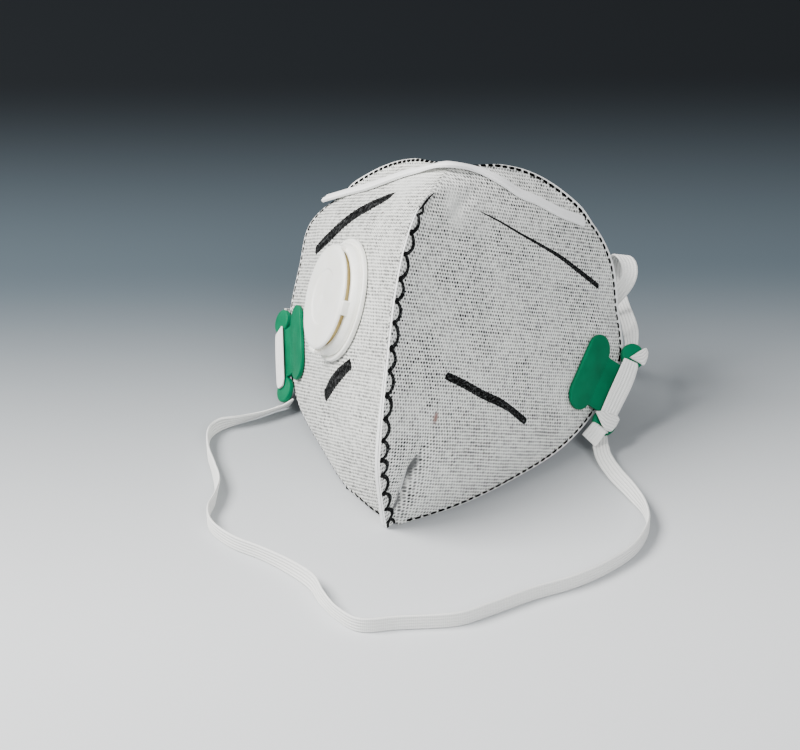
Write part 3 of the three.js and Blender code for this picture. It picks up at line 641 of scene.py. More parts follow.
# Stains, patches where the bonding dots are ironed out, and painted shadow: four dark patches
# along the crease and a thin dark line below the nose strip's end. Each has the middle, the half
# sizes along and across the rows, the colour and its strength.
STAINS_AND_SHADOW = {
    "right": [
        # Painted shadow: four dark patches along the crease by the chin.
        *[(place_on("right", t, u), (1.7, 4.4), rgb(84, 85, 86), 0.95)
          for t, u in ((0.065, 0.12), (0.11, 0.16), (0.156, 0.184), (0.2, 0.2))],
        (place_on("right", 0.82, 0.17), (5, 9), rgb(226, 227, 223), 0.75),
        (place_on("right", 0.336, 0.212), (1.3, 2.6), rgb(136, 94, 86), 0.9),
        (place_on("right", 0.348, 0.206), (0.4, 0.5), rgb(52, 34, 34), 0.9),
        (place_on("right", 0.322, 0.215), (0.5, 0.35), rgb(60, 40, 40), 0.85),
        # Painted shadow: a thin dark line just below the nose strip's end.
        (place_on("right", 0.765, 0.867), (1.9, 0.55), rgb(52, 52, 54), 0.9),
    ],
    "left": [
        (place_on("left", 0.88, 0.40), (18, 9), rgb(228, 229, 225), 0.6),
        (place_on("left", 0.769, 0.36), (0.8, 0.5), rgb(70, 52, 50), 0.9),
    ],
}
# The ground's light and shaded colour; the left's is a little darker, painted shade that evens out the
# light.
GROUNDS = {
    "right": (rgb(250, 250, 246), rgb(230, 231, 227)),
    "left": (rgb(240, 240, 235), rgb(219, 220, 215)),
}
outer_cloth = {
    panel: nonwoven(f"bonded_nonwoven_{panel}", light, shade, dot_colour=rgb(25, 27, 30),
                    dot_strength=1.0, stains_and_shadow=STAINS_AND_SHADOW[panel])
    for panel, (light, shade) in GROUNDS.items()
}
lining_cloth = nonwoven("lining_nonwoven", rgb(226, 227, 226), rgb(204, 206, 206),
                        dot_colour=rgb(150, 152, 154), dot_strength=0.4)


def pressed_white():
    """Cloth pressed and cut clean at its edge: nearly white, a little fibrous."""
    material, edge = new_material("pressed_edge", roughness=0.8, specular=0.25)
    place = edge.cloth_place()
    fibre = edge.noise(place, 3.0, 5.0, 0.7)
    colour = edge.mix(edge.ramp(fibre, 0.3, 0.7), rgb(232, 233, 232), rgb(252, 252, 251))
    edge.paint(Base_Color=colour)
    edge.paint(Normal=edge.bump(fibre, 0.0001, 0.6))
    return material


edge_cloth = pressed_white()
PANEL_ROWS, PANEL_COLUMNS, FIN_COLUMNS = 210, 110, 5
# The columns stand a little closer towards the rim. The pressed border is counted in columns as
# on a panel of this width, and the wall is at most SEAM_FOOT thick at the seam.
COLUMN_CROWDING, PANEL_WIDTH, RIM_BORDER, SEAM_FOOT = 0.92, 80, 1.2, 1.4
OUTER, EDGE, LINING = 0, 1, 2
# How far up the seam the fin's cut edge is white; above it has the outer cloth's colour.
WHITE_EDGE = {"right": 0.80, "left": 0.44}
# The fin's layers at their cut edge, chin to nose: share along the seam, left and right layer.
LAYERS = np.array([(0, 1.6, 0.9), (0.25, 1.4, 0.8), (0.45, 0.5, 0.85), (0.78, 0.45, 0.7),
                   (0.84, 0.25, 0.25), (1, 0.25, 0.25)])


def cut_layer(panel, t):
    """Thickness of a layer at the fin's cut edge, and the side that faces the other layer."""
    thickness = np.interp(t, LAYERS[:, 0], LAYERS[:, 1 if panel == "left" else 2])
    inner = GAP / 2 - (GAP / 2 - 0.02) * smooth_step(t, 0.79, 0.84)
    return (inner + thickness)[:, None], inner[:, None]


def panel_piece(panel):
    """One panel as a closed wall: the fin's layer, the outer face, the rim and the lining."""
    sign = SIGN[panel]
    t = np.linspace(0, 1, PANEL_ROWS + 1)
    out, across, tip, root = seam_frame(t)
    width = plain_cloth(panel, t, t * 0)[2]
    wall = np.minimum(WALL, RIM_WALL + width * 0.03)
    cut_outer, cut_inner = cut_layer(panel, t)
    columns, inner_fin = [], []
    for k in range(FIN_COLUMNS):
        share = k / FIN_COLUMNS
        line = tip + (root - tip) * share
        columns.append(line + across * sign * (cut_outer + (GAP / 2 + FIN_LAYER - cut_outer) * share))
        inner_fin.append(line + across * sign * (cut_inner + (GAP / 2 - cut_inner) * share))
    u_list = np.linspace(0, 1, PANEL_COLUMNS + 1) ** COLUMN_CROWDING
    outer, under = [], []
    for u in u_list:
        point = cloth(panel, t, t * 0 + u)
        facing = facing_of(panel, t, t * 0 + u, plain_point)
        edge = smooth_step((1 - u) * width, 0, RIM_TAPER)
        below = point - facing * (RIM_WALL + (wall - RIM_WALL) * edge)
        clearance = sign * dot(across, below - root)
        outer.append(point)
        under.append(below + across * sign * np.maximum(0, GAP / 2 - clearance))
    under[0] = root + across * sign * GAP / 2 - out * np.minimum(SEAM_FOOT, wall)
    rings = np.stack(columns + outer + under[::-1] + inner_fin[::-1], axis=1)
    rows, ring = rings.shape[:2]
    foot = cloth_uv(panel, outer[0])
    shift = np.array([1.0, 0.0])
    fin_uv = [foot - shift * (1 - k / FIN_COLUMNS) * FIN_WIDTH for k in range(FIN_COLUMNS)]
    uv = np.stack(fin_uv + [cloth_uv(panel, p) for p in outer + under[::-1]] + fin_uv[::-1], axis=1)
    faces = tube_faces(rows, ring)
    outer_count = FIN_COLUMNS + PANEL_COLUMNS
    border = sum(1 for u in u_list if (1 - u) * PANEL_WIDTH < RIM_BORDER)
    slots = []
    for row in range(rows - 1):
        for k in range(ring):
            if k == ring - 1:
                slots.append(EDGE if t[row] < WHITE_EDGE[panel] else OUTER)
            elif outer_count - border <= k <= outer_count:
                slots.append(EDGE)
            elif k < outer_count:
                slots.append(OUTER)
            else:
                slots.append(LINING)
    materials = [outer_cloth[panel], edge_cloth, lining_cloth]
    piece = new_piece(f"{panel}_cloth", rings.reshape(-1, 3), faces, materials,
                      uv.reshape(-1, 2), slots + [EDGE, EDGE], sharp_angle=50)
    outward(piece)
    return piece


def valve_basis():
    """Columns: towards the seam, towards the nose, and out of the cloth."""
    side = unit(np.cross([0, 0, 1.0], valve_facing))
    return np.stack([side, np.cross(valve_facing, side), valve_facing], axis=1)


def on_valve(points):
    return np.asarray(points) @ valve_basis().T + valve_at


HOLE_RADIUS, HOLE_SIDES, PUNCH_REACH = 13.4, 96, 6


def plain_mesh(piece):
    """The piece's mesh with its modifiers carried out."""
    return bpy.data.meshes.new_from_object(piece.evaluated_get(bpy.context.evaluated_depsgraph_get()))


def cut_round_hole(piece):
    """Punches the valve's hole through a panel."""
    turn = np.linspace(0, 2 * math.pi, HOLE_SIDES, endpoint=False)
    circle = np.stack([np.cos(turn), np.sin(turn)], axis=1) * HOLE_RADIUS
    points = [(x, y, z) for z in (-PUNCH_REACH, PUNCH_REACH) for x, y in circle]
    punch = new_piece("valve_punch", on_valve(points), tube_faces(2, HOLE_SIDES), [lining_cloth])
    outward(punch)
    cut = piece.modifiers.new("hole", "BOOLEAN")
    cut.operation = "DIFFERENCE"
    cut.object = punch
    cut.solver = "EXACT"
    mesh = plain_mesh(piece)
    piece.modifiers.clear()
    piece.data = mesh
    bpy.data.objects.remove(punch)


right_panel = panel_piece("right")
left_panel = panel_piece("left")
cut_round_hole(left_panel)
for panel_object, node in ((right_panel, "panel_right"), (left_panel, "panel_left")):
    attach(panel_object, "root")
    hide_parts(node)

# ---------- Weld marks in the cloth ----------
# Four dark stripes pressed into the panels by a hot tool, which holds the layers together
# and stiffens the folded cloth: black, matt and mottled, with rounded ends.

# Rows: share along the seam, share towards the rim, half width in millimetres.
STRIPES = {
    "stripe_right_upper": ("right", [(0.808, 0.314, 0.19), (0.78, 0.413, 0.38), (0.751, 0.51, 0.42),
                                     (0.725, 0.605, 0.55), (0.699, 0.70, 0.79), (0.671, 0.789, 0.91),
                                     (0.641, 0.896, 1.01)], 0.25),
    "stripe_left_upper": ("left", [(0.833, 0.418, 0.1), (0.813, 0.454, 1.7), (0.776, 0.535, 2.9),
                                   (0.734, 0.608, 3.2), (0.684, 0.693, 2.5), (0.641, 0.816, 1.8)], 0.5),
    "stripe_right_lower": ("right", [(0.4325, 0.205, 1.45), (0.417, 0.30, 1.5), (0.40, 0.392, 1.5),
                                     (0.388, 0.478, 1.55), (0.376, 0.545, 1.25), (0.362, 0.61, 1.3),
                                     (0.350, 0.667, 1.35)], 1.4),
    "stripe_left_lower": ("left", [(0.432, 0.30, 1.9), (0.403, 0.40, 2.5), (0.376, 0.495, 2.4),
                                   (0.346, 0.603, 2.35)], 0.6),
}
MARK_RISE = 0.10
MARK_SINK = 0.30
# The waves of a mark's ragged outline: height as a share of its width, how close, and shift.
MARK_WAVES = ((0.05, 2.9, 0), (0.04, 7.1, 1.3))
MARK_AROUND = 6    # the cloth's millimetres round a mark, on which its mottling lies


def weld_black():
    """Melted black cloth, mottled with grey specks."""
    material, mark = new_material("weld_black", roughness=0.6, specular=0.04)
    place = mark.cloth_place()
    speck = mark.noise(place, 1.3, 4.0, 0.7)
    blot = mark.noise(place, 0.45, 2.0)
    grey = mark.times(mark.ramp(speck, 0.50, 0.60), mark.ramp(blot, 0.35, 0.65, 0.3, 1.0))
    mark.paint(Base_Color=mark.mix(grey, rgb(2, 2, 3), rgb(88, 89, 90)))
    mark.paint(Roughness=mark.ramp(speck, 0.3, 0.7, 0.5, 0.8))
    mark.paint(Normal=mark.bump(speck, 0.00012, 0.9))
    return material


weld_mark = weld_black()


def shift_on_cloth(panel, t, u, offset):
    """Moves places on the cloth by offsets in millimetres that lie in its surface."""
    step = 0.002
    along = (cloth(panel, np.minimum(t + step, 1), u) - cloth(panel, t - step, u)) / (2 * step)
    across = (cloth(panel, t, np.minimum(u + step, 1)) - cloth(panel, t, u - step)) / (2 * step)
    aa, ab, bb = dot(along, along), dot(along, across), dot(across, across)
    ao, bo = dot(along, offset), dot(across, offset)
    scale = aa * bb - ab * ab
    return t + ((ao * bb - bo * ab) / scale)[:, 0], u + ((bo * aa - ao * ab) / scale)[:, 0]


def mark_piece(name, panel, course, end_radius, step=0.5, half_steps=6):
    """A thin closed patch on the cloth along a course, as wide as the course's table says."""
    table = np.array([(t, u, half) for t, u, half in course])
    places = np.linspace(0, len(table) - 1, 12 * len(table))
    rough = cloth(panel, *through(table[:, :2], places).T)
    run = run_along(rough)
    count = max(6, round(run[-1] / step))
    stops = np.linspace(0, run[-1], count + 1)
    places = np.interp(stops, run, places)
    t, u = through(table[:, :2], places).T
    half = np.interp(places, np.arange(len(table)), table[:, 2])
    from_end = np.minimum(stops, run[-1] - stops)
    half = half * np.sqrt(np.clip(1 - (1 - np.clip(from_end / end_radius, 0, 1)) ** 2, 0.004, 1))
    half = half * (1 + sum(high * np.sin(stops * often + shift) for high, often, shift in MARK_WAVES))
    middle = cloth(panel, t, u)
    facing = facing_of(panel, t, u, cloth)
    side = unit(np.cross(facing, np.gradient(middle, axis=0)))
    tops, bottoms = [], []
    for k in range(-half_steps, half_steps + 1):
        share = k / half_steps
        moved_t, moved_u = shift_on_cloth(panel, t, u, side * (half * share)[:, None])
        point = cloth(panel, moved_t, moved_u)
        lift = MARK_RISE * (1 - share ** 6)
        tops.append(point + facing * lift)
        bottoms.append(point - facing * MARK_SINK)
    rings = np.stack(tops + bottoms[::-1], axis=1)
    piece = tube_piece(name, rings, weld_mark, np.linspace(0, MARK_AROUND, rings.shape[1]), stops)
    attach(piece, "root")
    return piece


for stripe_name, (stripe_panel, stripe_course, stripe_end) in STRIPES.items():
    mark_piece(stripe_name, stripe_panel, stripe_course, stripe_end)

# ---------- Rim stitching ----------
# A line of short dark weld dashes just inside each panel's pressed edge, made by a toothed
# wheel that joins the outer cloth to the lining.

DASH_LENGTH, DASH_WIDTH, DASH_HEIGHT = 2.3, 1.0, 0.5
DASH_PITCH, DASH_INSET, DASH_SPAN = 3.1, 1.9, (0.018, 0.985)
CURLED = (0.07, 0.12, 0.30, 0.36)    # the left rim's stretch that curls under, with its dashes


def dash_shape():
    """One dash: a small pill with square shoulders, its middle at the origin."""
    turn = np.linspace(0, 2 * math.pi, 20, endpoint=False)
    x = np.sign(np.cos(turn)) * np.abs(np.cos(turn)) ** 0.45 * DASH_LENGTH / 2
    y = np.sign(np.sin(turn)) * np.abs(np.sin(turn)) ** 0.6 * DASH_WIDTH / 2
    levels = [(-0.5, 0.95), (0.2, 1.0), (0.5, 0.8)]
    points = [(a * s, b * s, z * DASH_HEIGHT) for z, s in levels for a, b in zip(x, y)]
    return new_piece("dash_shape", points, tube_faces(3, 20), [weld_mark], np.zeros((60, 2)))


def along_path_tree():
    """Places a shape on every point, turned so that X follows the path and Z leaves the cloth."""
    tree = bpy.data.node_groups.new("shapes_along_path", "GeometryNodeTree")
    tree.interface.new_socket("Path", in_out="INPUT", socket_type="NodeSocketGeometry")
    tree.interface.new_socket("Shape", in_out="INPUT", socket_type="NodeSocketObject")
    tree.interface.new_socket("Finish", in_out="INPUT", socket_type="NodeSocketMaterial")
    tree.interface.new_socket("Result", in_out="OUTPUT", socket_type="NodeSocketGeometry")
    build = Shader(tree)
    given = build.node("NodeGroupInput").outputs
    to_points = build.node("GeometryNodeMeshToPoints")
    build.feed(to_points.inputs["Mesh"], given["Path"])
    stored = {}
    for name in ("facing", "along", "size"):
        read = build.node("GeometryNodeInputNamedAttribute", data_type="FLOAT_VECTOR")
        read.inputs["Name"].default_value = name
        stored[name] = read.outputs[0]
    turn = build.node("FunctionNodeAxesToRotation", primary_axis="Z", secondary_axis="X")
    build.feed(turn.inputs["Primary Axis"], stored["facing"])
    build.feed(turn.inputs["Secondary Axis"], stored["along"])
    shape = build.node("GeometryNodeObjectInfo")
    build.feed(shape.inputs["Object"], given["Shape"])
    copies = build.node("GeometryNodeInstanceOnPoints")
    build.feed(copies.inputs["Points"], to_points.outputs[0])
    build.feed(copies.inputs["Instance"], shape.outputs["Geometry"])
    build.feed(copies.inputs["Rotation"], turn.outputs[0])
    build.feed(copies.inputs["Scale"], stored["size"])
    real = build.node("GeometryNodeRealizeInstances")
    build.feed(real.inputs[0], copies.outputs[0])
    finish = build.node("GeometryNodeSetMaterial")
    build.feed(finish.inputs["Geometry"], real.outputs[0])
    build.feed(finish.inputs["Material"], given["Finish"])
    end = build.node("NodeGroupOutput")
    build.feed(end.inputs[0], finish.outputs[0])
    return tree


shapes_along_path = along_path_tree()


def shapes_on_path(name, shape, material, points, along, facing, sizes):
    """Copies of a shape on points in millimetres, as one plain mesh; the shape is used up."""
    mesh = bpy.data.meshes.new(name)
    mesh.from_pydata((np.asarray(points) * MM).tolist(), [], [])
    for key, values in (("along", along), ("facing", facing), ("size", sizes)):
        layer = mesh.attributes.new(key, "FLOAT_VECTOR", "POINT")
        layer.data.foreach_set("vector", np.asarray(values, float).ravel())
    piece = new_object(name, mesh)
    modifier = piece.modifiers.new("copies", "NODES")
    modifier.node_group = shapes_along_path
    for item in shapes_along_path.interface.items_tree:
        if item.in_out == "INPUT" and item.name in ("Shape", "Finish"):
            modifier[item.identifier] = shape if item.name == "Shape" else material
    made = plain_mesh(piece)
    piece.modifiers.clear()
    piece.data = made
    made.shade_smooth()
    made.set_sharp_from_angle(angle=math.radians(50))
    bpy.data.objects.remove(shape)
    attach(piece, "root")
    return piece


def rim_path(panel, start, stop):
    """Evenly spaced places along the rim, a little inside it."""
    t = np.linspace(start, stop, 900)
    width = plain_cloth(panel, t, t * 0)[2][:, 0]
    u = 1 - DASH_INSET / np.maximum(width, DASH_INSET * 2)
    line = cloth(panel, t, u)
    run = run_along(line)
    stops = np.arange(DASH_PITCH / 2, run[-1], DASH_PITCH)
    t, u = np.interp(stops, run, t), np.interp(stops, run, u)
    point, facing = cloth(panel, t, u), facing_of(panel, t, u, cloth)
    if panel == "left":
        rim = cloth(panel, t, u * 0 + 1)
        off_rim = unit(rim - cloth(panel, t, u * 0 + 0.98))
        curl = (smooth_step(t, *CURLED[:2]) * (1 - smooth_step(t, *CURLED[2:])))[:, None]
        point = point + (rim - facing * RIM_WALL / 2 - point) * curl
        facing = unit(facing * (1 - curl) + off_rim * curl)
    return point, np.gradient(point, axis=0), facing


for dash_panel in ("right", "left"):
    dash_points, dash_along, dash_facing = rim_path(dash_panel, *DASH_SPAN)
    wobble = 1 + 0.10 * np.sin(np.arange(len(dash_points)) * 2.3)
    dash_sizes = np.stack([wobble, wobble * 0 + 1, wobble * 0 + 1], axis=1)
    shapes_on_path(f"rim_dashes_{dash_panel}", dash_shape(), weld_mark,
                   dash_points, dash_along, dash_facing, dash_sizes)

# ---------- Front seam weld ----------
# The fin's right face carries a scalloped line of melted black cloth: arcs that bulge away
# from the cut edge, with a thicker knot at each cusp.

# Shares along the seam where the arcs meet the cut edge.
CUSPS = [0.0162, 0.0605, 0.1138, 0.172, 0.2172, 0.2698, 0.3222, 0.3753, 0.429, 0.4765, 0.5322, 0.5805,
         0.6295, 0.6862, 0.7382, 0.785]
# The arcs' greatest depth, the same from NOSE_ARCS up, their least depth, and how full they are.
ARC_DEPTH, ARC_DEPTH_NOSE, NOSE_ARCS, CUSP_DEPTH, ARC_FULLNESS = 2.8, 2.2, 0.73, 0.45, 0.62
WELD_WIDTH = 1.45


def fin_face(t, depth, lift):
    """Points on the fin's right face, at a depth from its cut edge, lifted off it."""
    out, across, tip, root = seam_frame(t)
    foot_depth = np.linalg.norm(tip - root, axis=1)
    reach = np.minimum(depth, foot_depth)[:, None]
    cut = cut_layer("right", t)[0]
    on_fin = tip - out * reach + across * (cut + (GAP / 2 + FIN_LAYER - cut) * reach / foot_depth[:, None])
    width = plain_cloth("right", t, t * 0)[2][:, 0]
    on_cloth = cloth("right", t, np.maximum(depth - foot_depth, 0) / width)
    point = np.where((depth > foot_depth)[:, None], on_cloth, on_fin)
    return point + across * lift


def scallop_line():
    t, depth = [], []
    for k, (start, stop) in enumerate(zip(CUSPS[:-1], CUSPS[1:])):
        share = np.linspace(0, 1, 26)[:-1]
        t.extend(start + (stop - start) * share)
        deepest = ARC_DEPTH if start < NOSE_ARCS else ARC_DEPTH_NOSE
        deepest = deepest - 0.1 * (k % 3)
        depth.extend(CUSP_DEPTH + deepest * np.sin(share * math.pi) ** ARC_FULLNESS)
    return np.array(t + [CUSPS[-1]]), np.array(depth + [CUSP_DEPTH])


def flat_thread(name, middle, facing, half_widths, half_height):
    """A flattened thread along points, lying on a surface."""
    tangent = unit(np.gradient(middle, axis=0))
    side = unit(np.cross(facing, tangent))
    turn = np.linspace(0, 2 * math.pi, 10, endpoint=False)
    rings = (middle[:, None] + side[:, None] * (np.cos(turn)[None, :] * half_widths[:, None])[..., None]
             + facing[:, None] * (np.sin(turn) * half_height)[None, :, None])
    piece = tube_piece(name, rings, weld_mark, turn, run_along(middle))
    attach(piece, "root")
    return piece


weld_t, weld_depth = scallop_line()
weld_middle = fin_face(weld_t, weld_depth, lift=0.12)
weld_facing = seam_frame(weld_t)[1]
weld_half = WELD_WIDTH / 2 * (1 + 0.12 * np.sin(weld_t * 160))
flat_thread("seam_weld", weld_middle, weld_facing, weld_half, half_height=0.28)

# Where the arcs end, the weld goes on as a slim loop and then a streak along the crest, and
# at the chin it closes in a small arch. Rows: share along the seam, depth, half width.
WELD_ENDS = {
    "seam_weld_loop": [(0.786, 0.9, 0.45), (0.797, 1.9, 0.5), (0.809, 1.6, 0.45), (0.815, 0.8, 0.3)],
    "seam_weld_streak": [(0.797, 0.5, 0.22), (0.815, 0.9, 0.42), (0.835, 0.9, 0.48), (0.855, 0.7, 0.3),
                         (0.872, 0.6, 0.12)],
    "seam_weld_arch": [(0.0005, 0.6, 0.5), (0.012, 0.9, 0.6), (0.0185, 2.0, 0.65), (0.012, 3.1, 0.6),
                       (0.0005, 3.5, 0.5)],
}
for end_name, end_rows in WELD_ENDS.items():
    end_table = np.array(end_rows)
    end_t, end_depth, end_half = through(end_table, np.linspace(0, len(end_table) - 1, 40)).T
    end_middle = fin_face(end_t, end_depth, lift=0.14)
    flat_thread(end_name, end_middle, seam_frame(end_t)[1], end_half, half_height=0.26)


def knot_shape():
    """A flattened round blob of melted cloth."""
    ball = bmesh.new()
    bmesh.ops.create_icosphere(ball, subdivisions=2, radius=1.0 * MM)
    bmesh.ops.scale(ball, verts=ball.verts, vec=(1.15, 1.0, 0.42))
    mesh = bpy.data.meshes.new("knot_shape")
    ball.to_mesh(mesh)
    ball.free()
    mesh.uv_layers.new(name="cloth")
    return new_object("knot_shape", mesh)


knot_t = np.array(CUSPS[1:])
knot_points = fin_face(knot_t, knot_t * 0 + 0.9, lift=0.1)
knot_size = np.where(knot_t > 0.78, 0.6, 1.0 + 0.15 * np.sin(knot_t * 70))
shapes_on_path("seam_knots", knot_shape(), weld_mark, knot_points, unit(edge_slope("seam", knot_t)),
               seam_frame(knot_t)[1], np.tile((1.0, 1.0, 1.0), (len(knot_t), 1)) * knot_size[:, None])

# ---------- Nose strip ----------
# A bendable white strip over the bridge of the nose. It has a step along its middle, so that
# one half stands a little lower, and its ends are cut square.

STRIP_WIDTH, STRIP_GRAIN = 4.0, 0.6
# Rows: panel, share along the seam, share towards the rim, height above the cloth; the crest
# over the nose is a point and the way it faces.
STRIP_COURSE = [
    ("left", 0.752, 1, 2.3), ("left", 0.79, 0.92, 0.5), ("left", 0.82, 0.77, 0.4),
    ("left", 0.88, 0.56, 0.4), ("left", 0.92, 0.44, 0.6), ((1.9, 17.6, 108.8), (0, 0, 1)),
    ("right", 0.945, 0.535, 0.7), ("right", 0.89, 0.58, 0.5), ("right", 0.85, 0.65, 0.4),
    ("right", 0.83, 0.73, 0.4), ("right", 0.8, 0.82, 0.4), ("right", 0.78, 0.93, 0.5),
]


def strip_stations():
    points, facings = [], []
    for row in STRIP_COURSE:
        if len(row) == 2:
            points.append(row[0])
            facings.append(row[1])
        else:
            panel, t, u, rise = row
            facing = facing_of(panel, one(t), one(u), cloth)[0]
            points.append(cloth(panel, one(t), one(u))[0] + facing * rise)
            facings.append(facing)
    return np.array(points, float), np.array(facings, float)


def strip_material():
    material, foam = new_material("white_strip", roughness=0.6, specular=0.3)
    place = foam.cloth_place()
    grain = foam.noise(place, 2.5, 4.0, 0.6)
    colour = foam.mix(foam.ramp(grain, 0.3, 0.7), rgb(250, 250, 249), rgb(255, 255, 255))
    foam.paint(Base_Color=colour)
    foam.paint(Normal=foam.bump(grain, 0.00006, 0.5))
    return material


strip_points, strip_facings = strip_stations()
strip_places, strip_length = even_places(strip_points, 0.8)
strip_middle = through(strip_points, strip_places)
strip_along = unit(np.gradient(strip_middle, axis=0))
strip_facing = unit(through(strip_facings, strip_places))
strip_across = unit(np.cross(strip_along, strip_facing))
strip_up = unit(np.cross(strip_across, strip_along))
# The strip's section: across, as a share of its half width, and height in millimetres.
strip_profile = [
    (-1, 0.1), (-0.97, 0.55), (-0.9, 0.68), (-0.5, 0.74), (-0.12, 0.8), (-0.02, 0.86),
    (0.06, 1.05), (0.14, 1.16), (0.3, 1.2), (0.6, 1.2), (0.88, 1.14), (0.97, 1.0), (1, 0.6),
    (1, 0.12), (0.94, 0), (-0.94, 0),
]
strip_rings = np.stack([
    strip_middle + strip_across * x * STRIP_WIDTH / 2 + strip_up * z for x, z in strip_profile
], axis=1)
nose_piece = tube_piece("nose_foam", strip_rings, strip_material(),
                        np.arange(len(strip_profile)) * STRIP_GRAIN,
                        np.linspace(0, strip_length, len(strip_middle)))
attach(nose_piece, "root")
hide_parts("nose_strip")

# ---------- Exhalation valve ----------
# A round valve of ivory plastic set through the left panel: a flange with a raised lip, a
# spoked seat with a thin rubber flap, and a snap-on cover with outlet slots.


def turned(name, profile, materials, sides=128, smooth_angle=35):
    """A body of revolution about the valve's axis from (radius, height) points."""
    radius, height = np.array(profile, float).T
    turn = np.linspace(0, 2 * math.pi, sides, endpoint=False)
    points = np.stack([np.cos(turn)[:, None] * radius, np.sin(turn)[:, None] * radius,
                       np.broadcast_to(height, (sides, len(height)))], axis=-1)
    count = len(profile)
    faces = []
    for k in range(sides):
        following = (k + 1) % sides
        for j in range(count):
            after = (j + 1) % count
            here, there = k * count, following * count
            faces.append((here + j, there + j, there + after, here + after))
    piece = new_piece(name, on_valve(points.reshape(-1, 3)), faces, materials, sharp_angle=smooth_angle)
    tidy_mesh(piece)
    return piece


def tidy_mesh(piece, merge=0.004):
    """Merges doubled points, drops flat faces and turns the rest outwards."""
    solid = bmesh.new()
    solid.from_mesh(piece.data)
    bmesh.ops.remove_doubles(solid, verts=solid.verts, dist=merge * MM)
    bmesh.ops.dissolve_degenerate(solid, dist=1e-7, edges=solid.edges)
    bmesh.ops.recalc_face_normals(solid, faces=solid.faces)
    solid.to_mesh(piece.data)
    solid.free()


def rounded(profile, radius=0.25, steps=3):
    """Rounds the corners of a closed profile."""
    points = [np.array(p, float) for p in profile]
    result = []
    for before, corner, after in zip(points[-1:] + points[:-1], points, points[1:] + points[:1]):
        back, ahead = before - corner, after - corner
        reach = min(radius, np.linalg.norm(back) * 0.45, np.linalg.norm(ahead) * 0.45)
        start, end = corner + unit(back) * reach, corner + unit(ahead) * reach
        for k in range(steps + 1):
            s = k / steps
            result.append((1 - s) ** 2 * start + 2 * s * (1 - s) * corner + s * s * end)
    return result


def moulded(name, colour, shade, roughness, specular=0.35, subsurface=0.0):
    """Injection-moulded plastic: even colour with faint clouding and a fine satin grain."""
    material, plastic = new_material(name, roughness, specular, Subsurface_Weight=subsurface)
    plastic.paint(Subsurface_Radius=(0.003, 0.0025, 0.002))
    place = plastic.node("ShaderNodeTexCoord").outputs["Object"]
    cloud = plastic.noise(place, 120.0, 3.0)
    grain = plastic.noise(place, 2600.0, 3.0, 0.6)
    plastic.paint(Base_Color=plastic.mix(plastic.ramp(cloud, 0.3, 0.75), colour, shade))
    satin = plastic.ramp(grain, 0.2, 0.8, roughness - 0.05, roughness + 0.08)
    plastic.paint(Roughness=satin)
    plastic.paint(Normal=plastic.bump(grain, 0.00002, 0.5))
    return material


ivory = moulded("ivory_plastic", rgb(255, 255, 250), rgb(250, 249, 241), roughness=0.36,
                specular=0.5, subsurface=0.05)
amber = moulded("amber_rubber", rgb(204, 180, 116), rgb(182, 154, 92), roughness=0.45)

# Profiles of the turned bodies: radius and height above the cloth.
flange_profile = [
    (17.1, 0.3), (22, 0.3), (22.35, 0.7), (22.3, 1.75), (21.9, 2.05), (21.3, 2.0), (20.9, 1.6),
    (17.1, 1.6),
]
seat_profile = [(12.2, 0.3), (16.7, 0.3), (16.7, 2), (12.2, 2)]
flap_profile = [(0.02, 2.3), (15, 2.3), (15, 2.8), (0.02, 2.8)]
inner_profile = [(16.2, 3.0), (17.0, 3.0), (17.0, 6.2), (16.2, 6.2)]
body_profile = [
    (17.4, 1.65), (20.45, 1.65), (20.35, 3.1), (19.9, 3.9), (19.3, 4.7), (18.8, 5.0), (17.4, 5),
]
cap_profile = [
    (0.02, 6.4), (18.0, 6.4), (18.9, 6.75), (19.05, 7.3), (18.6, 7.85), (17.6, 8.12), (10.3, 8.26),
    (9.9, 8.0), (9.5, 7.9), (0.02, 7.95),
]
flange = turned("valve_weld_ring", rounded(flange_profile, 0.18), [ivory])
seat = turned("valve_seat_ring", rounded(seat_profile), [ivory])
flap = turned("valve_rubber_flap", rounded(flap_profile, 0.15), [amber])
inner_ring = turned("valve_inner_ring", rounded(inner_profile, 0.15), [amber])
cover_body = turned("valve_cover_body", rounded(body_profile, 0.22), [ivory])
cover_cap = turned("valve_cover_cap", rounded(cap_profile, 0.14), [ivory])


def solid_piece(name, solid, material, sharp_angle, placed=np.asarray):
    """A piece from a solid in millimetres, which is used up; placed moves its points."""
    solid.verts.ensure_lookup_table()
    points = placed([tuple(v.co) for v in solid.verts])
    faces = [tuple(v.index for v in face.verts) for face in solid.faces]
    solid.free()
    return new_piece(name, points, faces, [material], sharp_angle=sharp_angle)


def valve_block(name, size, place, turn, bevel):
    """A block with rounded edges on the valve, turned about its axis."""
    block = bmesh.new()
    bmesh.ops.create_cube(block, size=1.0)
    bmesh.ops.scale(block, verts=block.verts, vec=size)
    bmesh.ops.bevel(block, geom=block.edges[:], offset=bevel, segments=3, affect="EDGES", profile=0.5)
    bmesh.ops.translate(block, verts=block.verts, vec=place)
    about_axis = Matrix.Rotation(math.radians(turn), 3, "Z")
    bmesh.ops.rotate(block, verts=block.verts, cent=(0, 0, 0), matrix=about_axis)
    return solid_piece(name, block, ivory, sharp_angle=50, placed=on_valve)


def joined(name, pieces):
    """Several meshes as one object."""
    merged = bmesh.new()
    for piece in pieces:
        merged.from_mesh(piece.data)
    mesh = bpy.data.meshes.new(name)
    merged.to_mesh(mesh)
    merged.free()
    for material in pieces[0].data.materials:
        mesh.materials.append(material)
    mesh.set_sharp_from_angle(angle=math.radians(40))
    piece = new_object(name, mesh)
    for used in pieces:
        bpy.data.objects.remove(used)
    return piece


